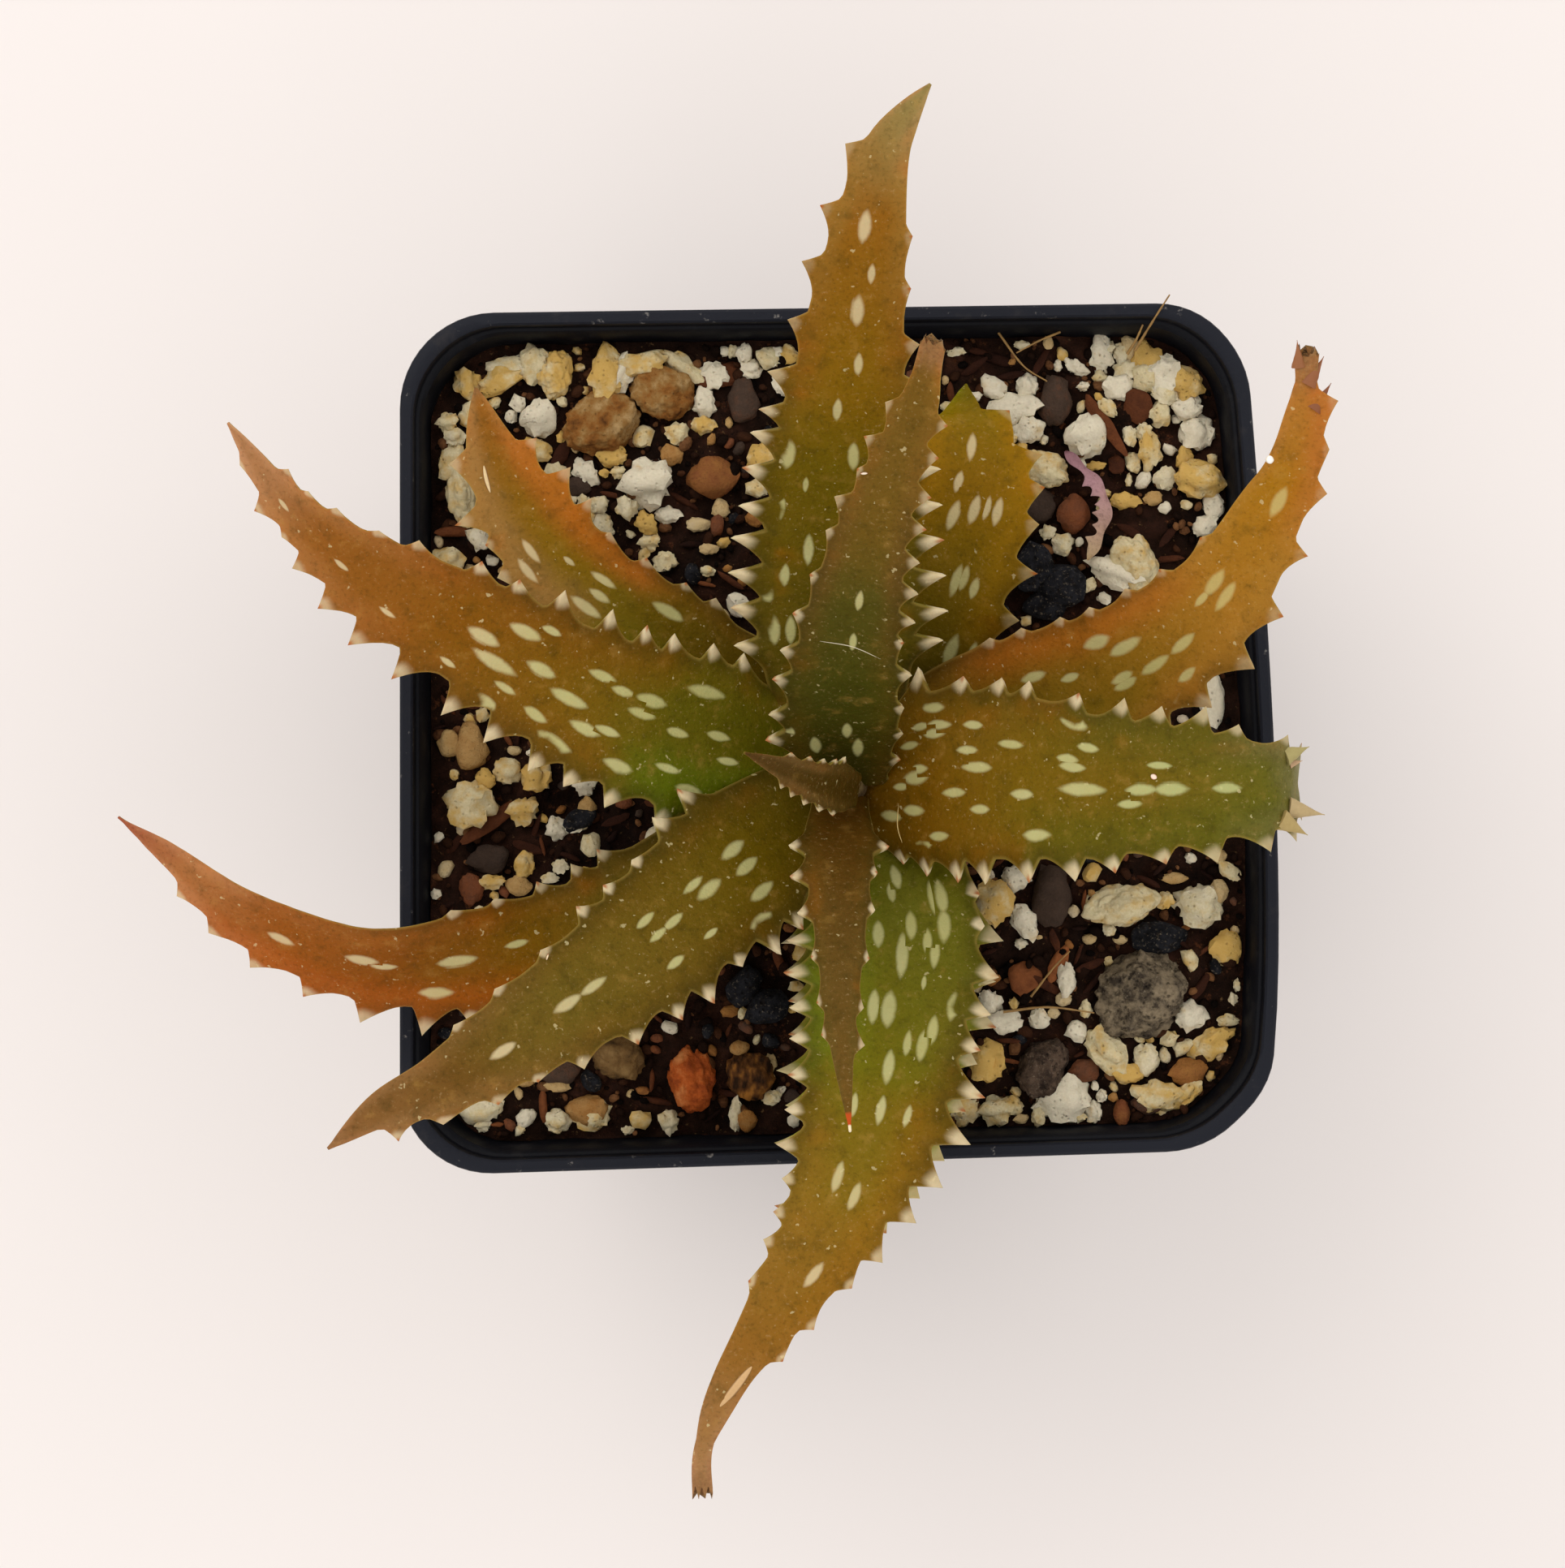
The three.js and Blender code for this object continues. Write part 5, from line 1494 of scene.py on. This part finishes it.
def lumpShape(detail, roughness, seed, planes):
    # one stone of half size 1: a ball of rounded lumps, or one cut by planes into an angular stone
    letGo()
    bpy.ops.mesh.primitive_ico_sphere_add(subdivisions=detail, radius=1)
    ball = bpy.context.object
    values = lumpValues
    shift = Vector(values["shift"]) * seed
    draw = random.Random(seed)
    cuts = []
    for _ in range(planes):
        cut = Vector((draw.gauss(0, 1), draw.gauss(0, 1), draw.gauss(0, 1))).normalized()
        cuts.append((cut, draw.uniform(*values["planes"])))
    points = []
    for vertex in ball.data.vertices:
        way = vertex.co.normalized()

        def lump(key):
            height, rate = values[key]
            return height * noise.noise(way * rate + shift)

        push = lump("bulge") + abs(lump("lobes")) + values["base"] + abs(lump("knobs"))
        reach = values["size"] + roughness * push
        for cut, away in cuts:
            reach = min(reach, away / max(way.dot(cut), values["leastSlope"]))
        points.append(way * (reach + roughness * lump("grit")))
    faces = [tuple(face.vertices) for face in ball.data.polygons]
    bpy.data.objects.remove(ball)
    return points, faces


def fuse(name, stones, material, slot):
    # one mesh from many stones: shape, middle, half sizes, turn and shade
    points, faces, shades = [], [], []
    for shape, middle, half, turn, shade in stones:
        start = len(points)
        for point in shape[0]:
            grown = grownTo(point, half)
            grown.rotate(turn)
            points.append((grown + middle) * mm)
        faces += [tuple(start + i for i in face) for face in shape[1]]
        shades += [shade] * len(shape[0])
    mesh = bpy.data.meshes.new(name)
    mesh.from_pydata(points, [], faces)
    piece = bpy.data.objects.new(name, mesh)
    bpy.context.collection.objects.link(piece)
    keepTrait(piece, "shade", "FLOAT", shades)
    smoothed(piece, grainValues["smooth"])
    dress(piece, material, slot)


def laySeenGrains(draw, taken, piles, shapes):
    values = grainValues["seen"]
    for kind, seen in grainsSeen.items():
        for x, y, long, wide, turn, shade in seen:
            place = seenAt((x, y), soilValues["height"] + values["above"])
            half = [values["grown"] * size * pixelSize(place.z) for size in (long, wide)]
            half.append(half[1] * scatter[kind]["flat"] * draw.uniform(*values["heights"]))
            tilts = [draw.uniform(-values["tilt"], values["tilt"]) for _ in range(2)]
            turned = Euler((*tilts, math.radians(turn)))
            while not insidePot(place.x, place.y, half[0] * values["room"]):
                place.x, place.y = place.x * values["inward"], place.y * values["inward"]
            place.z = soilTopAt(place.x, place.y) + half[2] * values["lift"]
            shape = draw.choice(shapes[kind + "Fine" if half[0] > values["detailed"] else kind])
            piles[kind].append((shape, place, half, turned, shade))
            taken.append((place.xy, (half[0] + half[1]) / 2))


def scatterKind(kind, draw, taken, piles, shapes):
    values = {**grainDefaults, **scatter[kind]}
    common = grainValues
    crown = Vector(soilValues["crown"])
    cell = common["cell"]
    cells = {}
    for place, size in taken:
        cells.setdefault((place[0] // cell, place[1] // cell), []).append((Vector(place[:2]), size))
    laid, tries = 0, 0
    while laid < values["count"] and tries < values["count"] * common["tries"]:
        tries += 1
        spot = Vector((draw.uniform(*common["across"]), draw.uniform(*common["down"])))
        if "crowds" in values and draw.random() < values["crowded"]:
            middle, spread = draw.choice(values["crowds"])
            spot = Vector((draw.gauss(middle[0], spread / 2), draw.gauss(middle[1], spread / 2)))
        size = blend(*values["size"], draw.random() ** common["smallness"])
        long = size * draw.uniform(*values["long"])
        clear = (spot - crown).length >= common["crownRoom"] + size
        if not clear or not insidePot(*spot, long * common["room"]):
            continue
        column, row = spot.x // cell, spot.y // cell
        near = []
        for i in (-1, 0, 1):
            for j in (-1, 0, 1):
                near += cells.get((column + i, row + j), [])
        if any((spot - place).length < (size + room) * values["slack"] for place, room in near):
            continue
        high = size * values["flat"]
        z = soilTopAt(*spot) + high * (0.5 - values["sunk"]) + common["lift"]
        tilts = [draw.uniform(-common["tilt"], common["tilt"]) for _ in range(2)]
        turned = Euler((*tilts, draw.uniform(0, 6.28)))
        half = (long, size * values["wide"], high)
        shape = draw.choice(shapes[kind])
        shade = blend(*values["shades"], draw.random())
        piles[kind].append((shape, Vector((*spot, z)), half, turned, shade))
        cells.setdefault((column, row), []).append((spot, size))
        taken.append((spot, size))
        laid += 1


def layGrains(values):
    draw = random.Random(soilValues["seed"])
    taken = [(Vector(at), max(half[:2]) * stoneRoom) for at, half, *others in stones.values()]
    piles = {kind: [] for kind in scatter}
    shapes = {}
    for kind in scatter:
        grain = {**grainDefaults, **scatter[kind]}
        for key, detail, first in ((kind, values["coarse"], values["firstSeed"]),
                                   (kind + "Fine", values["fine"], values["firstFineSeed"])):
            shapes[key] = [lumpShape(detail, grain["rough"], first + i, grain["planes"])
                           for i in range(values["shapes"])]
    laySeenGrains(draw, taken, piles, shapes)
    for kind in scatter:
        scatterKind(kind, draw, taken, piles, shapes)
    fuse("perliteGrains", piles["perlite"], perliteMaterial("perliteGrains"), "perlite")
    fuse("gravelGrains", piles["gravel"], evenSkin("gravelGrains", gravelSkin), "grit")
    fuse("barkBits", piles["bark"], evenSkin("barkBits", barkSkin), "soil_mix")
    fuse("lavaGrains", piles["lava"], lavaMaterial("lavaGrains", *lavaTones["grains"]), "lava")
    fuse("peatCrumbs", piles["crumb"], evenSkin("peatCrumbs", crumbSkin), "soil_mix")
    print("grains:", {kind: len(pile) for kind, pile in piles.items()})


gravelSkin = {
    "noises": {"cloud": (0.9, 4, 0.65), "grain": (0.2, 3, 0.7)}, "trait": "shade", "sway": 0.25,
    "tones": [
        (0.0, "2a211c"), (0.2, "4b3a2f"), (0.38, "7a4528"), (0.55, "9c6a34"), (0.7, "b8935c"),
        (0.85, "cbb283"), (1.0, "c9b9a0"),
    ],
    "over": [("grain", 0.55, 0.7, 0.4, "3a2a1c")],
    "rough": ("grain", 0.7, 0.2), "bumps": {"grain": 1, "cloud": 1}, "relief": (0.8, 0.18), "gloss": 0.12,
}
barkSkin = {
    "noises": {"cloud": (0.8, 5, 0.7)}, "trait": "shade", "sway": 0.4,
    "tones": [(0.1, "1e0f0a"), (0.45, "3c2014"), (0.7, "643820"), (1.0, "9a5c34")], "over": [],
    "rough": ("cloud", 0.7, 0.2), "bumps": {"cloud": 1}, "relief": (0.9, 0.3), "gloss": 0.08,
}
crumbSkin = {
    "noises": {"cloud": (0.4, 4, 0.7)}, "trait": "shade", "sway": 0.3,
    "tones": [(0.1, "0c0604"), (0.5, "24140c"), (0.8, "442818"), (1.0, "7c5434")], "over": [],
    "rough": ("cloud", 0.75, 0.2), "bumps": {"cloud": 1}, "relief": (0.9, 0.3), "gloss": 0.06,
}
perliteTones = {
    "dull": ("b8a678", "e8dab4"), "clean": ("c9bca0", "efe5cc"), "stain": "c8982e", "pit": "5c4826",
}
lavaTones = {
    "grains": ("0c0c0e", "26262a"), "grey": ("362e26", "87775f"), "brown": ("2c221c", "5c4a3c"),
    # a painted shade: the dark tone of the shadow in the stone's pores
    "poreShade": "17110d", "dust": "b5a48c", "pit": "120f0d",
}


def perliteMaterial(name, shade=None):
    # foamed white grains; shade runs from clean (0) to stained yellow (1)
    finish = Finish(name)
    tones = perliteTones
    shade = finish.trait("shade", "Fac") if shade is None else shade
    stain = finish.speckle(1.4, 4, 0.6)
    grain = finish.speckle(0.22, 4, 0.65)
    pits = finish.pits(0.5)
    clean = finish.mix(grain, *tones["clean"])
    colour = finish.over(finish.mix(grain, *tones["dull"]), clean, 1, shade + 0.3 * (stain - 0.5), 0.34, 0.2)
    colour = finish.over(colour, tones["stain"], 0.75, stain + 0.55 * (shade - 0.5), 0.38, 0.7)
    colour = finish.over(colour, tones["pit"], finish.step(stain, 0.45, 0.6) * 0.5, pits, 0.26, 0.06)
    bumps = grain * 0.5 + finish.step(pits, 0.0, 0.3) * 0.5
    return finish.coat(colour, 0.75 + 0.2 * grain, bumps, (0.9, 0.2), Specular_IOR_Level=0.15,
                       Subsurface_Weight=0.05, Subsurface_Scale=0.0005)


def lavaMaterial(name, dark, light):
    finish = Finish(name)
    cloud = finish.speckle(1.2, 5, 0.65)
    grain = finish.speckle(0.25, 3, 0.7)
    pits = finish.pits(0.55)
    colour = finish.mix(finish.step(cloud, 0.32, 0.66), dark, light)
    # painted shade: dark patches stand for the shadow in the stone's pores
    colour = finish.over(colour, lavaTones["poreShade"], 0.7, finish.speckle(0.7, 3, 0.6), 0.46, 0.34)
    colour = finish.over(colour, finish.mix(0.6, colour, lavaTones["dust"]), 0.45, grain, 0.55, 0.75)
    colour = finish.over(colour, lavaTones["pit"], 0.7, pits, 0.25, 0.05)
    bumps = grain * 0.4 + finish.step(pits, 0.0, 0.35) * 0.6
    return finish.coat(colour, 0.8 + 0.15 * grain, bumps, (1, 0.3), Specular_IOR_Level=0.1)


# The stones that are solids of their own: the solids' place and half sizes, turn in degrees, lift and kind
stones = {
    "pumice_left": ((-17.5, 23.5), (3, 2.5, 1.8), 20, 0.2, "pumice"),
    "pumice_middle": ((-13, 25.9), (2.7, 2.2, 1.7), -15, 0.2, "pumice"),
    "grit_lens": ((-20.9, 27), (1.3, 1.9, 1.2), -8, 0.5, "grit"),
    "lava_grey": ((22.8, -19.3), (3.8, 3.3, 2.3), 35, 0.3, "greyLava"),
    "lava_brown": ((15.5, -24.8), (2.4, 2.1, 1.7), 70, 0.3, "brownLava"),
    "stone_red": ((-10.9, -25.6), (1.9, 2.7, 1.7), 8, 0.2, "red"),
    "stone_brown": ((-16.2, -24), (2.1, 2, 1.6), 0, 0.2, "brown"),
    "stone_striped": ((-6.4, -25.4), (1.8, 2, 1.4), 40, 0.2, "striped"),
    "perlite_kidney": ((21.4, -12.6), (2.7, 1.6, 1.4), 12, 0.3, "perlite"),
    "perlite_oval": ((15.6, 20), (1.9, 1.4, 1.2), -18, 0.3, "perlite"),
    "perlite_corner": ((22.4, 13), (1.7, 2.2, 1.3), 25, 0.3, "perlite"),
    "perlite_left": ((-28, 17.8), (1.1, 2.1, 1.2), 10, 0.3, "perlite"),
}
stoneSlots = {
    "pumice": "pumice", "grit": "grit", "greyLava": "lava", "brownLava": "lava", "red": "red_stone",
    "brown": "brown_stone", "striped": "brown_stone", "perlite": "perlite",
}
stoneTones = {
    "pumice": [(0.3, "4e2e14"), (0.45, "8a5826"), (0.55, "96703e"), (0.7, "b89868")],
    "red": [(0.3, "7c3414"), (0.5, "b05420"), (0.7, "c88048")],
    "striped": [(0.35, "2c1a0c"), (0.52, "5e3a1a"), (0.7, "9a6428")],
    "brown": [(0.3, "4e3a22"), (0.5, "72542f"), (0.7, "8a6c42")],
    "pit": "3c2410", "grain": "2e2012",
}
stoneShades = {"perlite": 0.45, "grit": 0.8}
# detail, first seed, lumps as their rate per mm and weight; for round and for angular stones the lumps'
# roughness, the planes that cut the stone and its ruggedness
stoneShape = {
    "detail": 5, "firstSeed": 60, "lumps": [(1.3, 1), (3, 1), (7, 0.6)], "smooth": 60,
    "round": (0.34, 0, 0.03), "angular": (0.2, 10, 0.07),
}


def stoneMaterial(name, kind):
    if kind in stoneShades:
        return perliteMaterial(name, stoneShades[kind])
    if kind == "greyLava":
        return lavaMaterial(name, *lavaTones["grey"])
    if kind == "brownLava":
        return lavaMaterial(name, *lavaTones["brown"])
    finish = Finish(name)
    cloud = finish.speckle(1.6, 5, 0.6)
    grain = finish.speckle(0.22, 4, 0.7)
    place = cloud
    if kind == "striped":
        x, y, z = finish.parts(finish.where)
        squeezed = finish.node("ShaderNodeCombineXYZ", {}, {0: x * 2.2, 1: y, 2: z})
        place = finish.speckle(1.2, 2, 0.5, squeezed)
    colour = finish.ramp(place, *stoneTones[kind])
    if kind == "pumice":
        colour = finish.over(colour, stoneTones["pit"], 0.6, finish.pits(0.6), 0.22, 0.04)
    colour = finish.over(colour, stoneTones["grain"], 0.4, grain, 0.55, 0.75)
    bumps = grain * 0.6 + cloud * 0.4
    return finish.coat(colour, 0.72 + 0.2 * grain, bumps, (0.9, 0.25), Specular_IOR_Level=0.12)


def buildStones(shape):
    for index, (name, (at, half, degrees, lift, kind)) in enumerate(stones.items()):
        roughness, planes, rugged = shape["round" if kind in stoneShades else "angular"]
        points, faces = lumpShape(shape["detail"], roughness, shape["firstSeed"] + index, planes)
        letGo()
        bpy.ops.mesh.primitive_ico_sphere_add(subdivisions=shape["detail"], radius=1)
        stone = bpy.context.object
        stone.name = name + "_stone"
        turn = Euler((0, 0, math.radians(degrees)))
        middle = Vector((*at, soilValues["height"] + lift))
        for vertex, point in zip(stone.data.vertices, points):
            grown = grownTo(point, half)
            lumps = sum(weight * noise.noise(grown * rate) for rate, weight in shape["lumps"])
            grown *= 1 + rugged * lumps
            grown.rotate(turn)
            vertex.co = (grown + middle) * mm
        smoothed(stone, shape["smooth"])
        dress(stone, stoneMaterial(name + "_skin", kind), stoneSlots[kind], name)


# Dried scrap of a leaf, straws, and the stem under the crown

scrapValues = {
    "route": [
        (17.1, 21.2, 57.2), (19.4, 18.8, 57.4), (20.1, 17.3, 57.5), (19.9, 15.6, 57.3), (18.8, 13.1, 57.1),
    ],
    "width": 1.05, "thickness": 0.55, "rows": 110, "columns": 20, "tooth": 0.55, "toothHalf": 0.05,
    "teeth": (0.3, 0.42, 0.52, 0.61, 0.72, 0.84), "toothFrom": 0.6, "cup": 0.25, "lumps": 0.1,
    "lumpRate": 1.4, "waist": 0.25, "waistRate": 23, "leastWidth": 0.12, "leastThickness": 0.2,
}
scrapSkin = {
    "noises": {"fine": (0.3, 4, 0.65)}, "trait": "along", "sway": 0.2,
    "tones": [(0.0, "8c6068"), (0.35, "b08488"), (0.65, "b48e80"), (1.0, "c0a478")],
    "over": [("fine", 0.5, 0.7, 0.4, "64404a")],
    "rough": ("fine", 0.6, 0.2), "bumps": {"fine": 1}, "relief": (0.8, 0.2), "gloss": 0.5,
}


def buildScrap(values):
    spine = Spine(values["route"])
    waist, edge = values["waist"], values["toothFrom"]

    def place(row, column):
        share = row / (values["rows"] - 1)
        angle = 2 * math.pi * column / values["columns"]
        side, height = math.cos(angle), math.sin(angle)
        along, across, up = spine.axes(share * spine.length)
        narrowing = 1 - waist + waist * math.sin(share * values["waistRate"])
        taper = (1 - (2 * share - 1) ** 6) ** 0.5 * narrowing
        half = values["width"] / 2 * max(taper, values["leastWidth"])
        thick = values["thickness"] / 2 * max(taper, values["leastThickness"])
        point = spine.at(share * spine.length) + across * side * half + up * height * thick
        lump = noise.noise(point * values["lumpRate"])
        point += up * (side * side * values["cup"] + values["lumps"] * lump)
        if side > edge:
            away = min(abs(share - tooth) for tooth in values["teeth"])
            pull = max(0, 1 - away / values["toothHalf"]) ** 1.5
            point += across * pull * values["tooth"] * ease(side, edge, 1)
        return point

    scrap, seats = wrappedTube("leafScrap", values["rows"], values["columns"], place)
    keepTrait(scrap, "along", "FLOAT", [row / (values["rows"] - 1) for row, column in seats])
    finishTube(scrap, evenSkin("driedScrap", scrapSkin), "dried_leaf", "dried_leaf_scrap")


# Straws and fibres on the soil: pixels of the route, heights in mm at its ends, and the radius in mm
straws = {
    "strawCorner": ([(1389, 436), (1400, 418), (1408, 400)], (58.2, 59.2), 0.13),
    "strawRim": ([(1398, 432), (1420, 396), (1441, 363)], (58.6, 60.6), 0.11),
    "fibreTop": ([(1306, 409), (1280, 420), (1252, 435)], (57.6, 57.8), 0.1),
    "fibreRight": ([(1236, 1247), (1290, 1241), (1348, 1248)], (58.0, 58.2), 0.11),
    "fibreLow": ([(1270, 1228), (1300, 1190), (1318, 1172)], (57.4, 57.8), 0.1),
    "fibreBark": ([(1230, 410), (1262, 452), (1290, 470)], (57.2, 57.6), 0.1),
}
strawShape = {
    "rows": 30, "columns": 8, "arch": 0.2, "taper": 0.5, "knots": 0.25, "knotRate": 9,
    "tones": ("6a4a22", "b08848"),
}


def buildStraws(shape):
    finish = Finish("straw")
    fine = finish.speckle(0.6, 3)
    colour = finish.mix(fine, *shape["tones"])
    material = finish.coat(colour, 0.5 + 0.2 * fine, fine, (0.4, 0.05))
    for name, (seen, (low, high), radius) in straws.items():

        def section(share, angle):
            knot = noise.noise(Vector((share * shape["knotRate"], 1, 2)))
            half = radius * (1 - shape["taper"] * share) * (1 + shape["knots"] * knot)
            return half, half

        heights = (low, (low + high) / 2 + shape["arch"], high)
        route = Spine([seenAt(pixel, z) for pixel, z in zip(seen, heights)])
        straw, seats = routedTube(name, route, shape["rows"], shape["columns"], section)
        finishTube(straw, material, "dried_leaf")


stemValues = {
    "foot": 44.0, "top": 70.0, "radius": 2.6, "topRadius": 1.4, "rows": 100, "columns": 48,
    "rings": 9, "ringDepth": 0.05, "inset": 0.93, "lumps": 0.06, "lumpRate": 1.5,
    "endSlope": 6, "footShare": 0.2, "topShare": 0.1,
}
stemSkin = {
    "noises": {"cloud": (1.2, 5, 0.65)},
    "tones": [(0.3, "3a2a16"), (0.5, "5f4a28"), (0.7, "7d6a40")], "over": [],
    "rough": ("cloud", 0.6, 0.25), "bumps": {"cloud": 1}, "relief": (0.8, 0.3), "gloss": 0.5,
}


def buildStem(values):
    crown = soilValues["crown"]
    slope = values["endSlope"]

    def place(row, column):
        share = row / (values["rows"] - 1)
        angle = 2 * math.pi * column / values["columns"]
        ring = abs(math.sin(share * values["rings"] * math.pi + angle)) ** 0.5
        ends = min(1, slope * share + values["footShare"], slope * (1 - share) + values["topShare"])
        radius = blend(values["radius"], values["topRadius"], share * share)
        radius *= ends * (values["inset"] + values["ringDepth"] * ring)
        z = blend(values["foot"], values["top"], share)
        point = Vector((crown[0] + math.cos(angle) * radius, crown[1] + math.sin(angle) * radius, z))
        return point + point.normalized() * values["lumps"] * noise.noise(point * values["lumpRate"])

    stem, seats = wrappedTube("stemCore", values["rows"], values["columns"], place)
    finishTube(stem, evenSkin("stemBark", stemSkin), "stem_bark", "stem")


# The run


addCamera(cameraValues)
addLight(lightValues)
addFloor(floorValues)
print("camera, light and floor ready")
buildPot(potValues)
print("pot built")
for name, leaf in leaves.items():
    buildLeaf(name, {**leafDefaults, **leaf})
buildMarks()
buildHorns()
print("leaves and their marks built")
buildSoilBed(soilValues)
buildStones(stoneShape)
print("soil bed and stones built")
layGrains(grainValues)
buildScrap(scrapValues)
buildStraws(strawShape)
buildStem(stemValues)
print("scrap, straws and stem built")
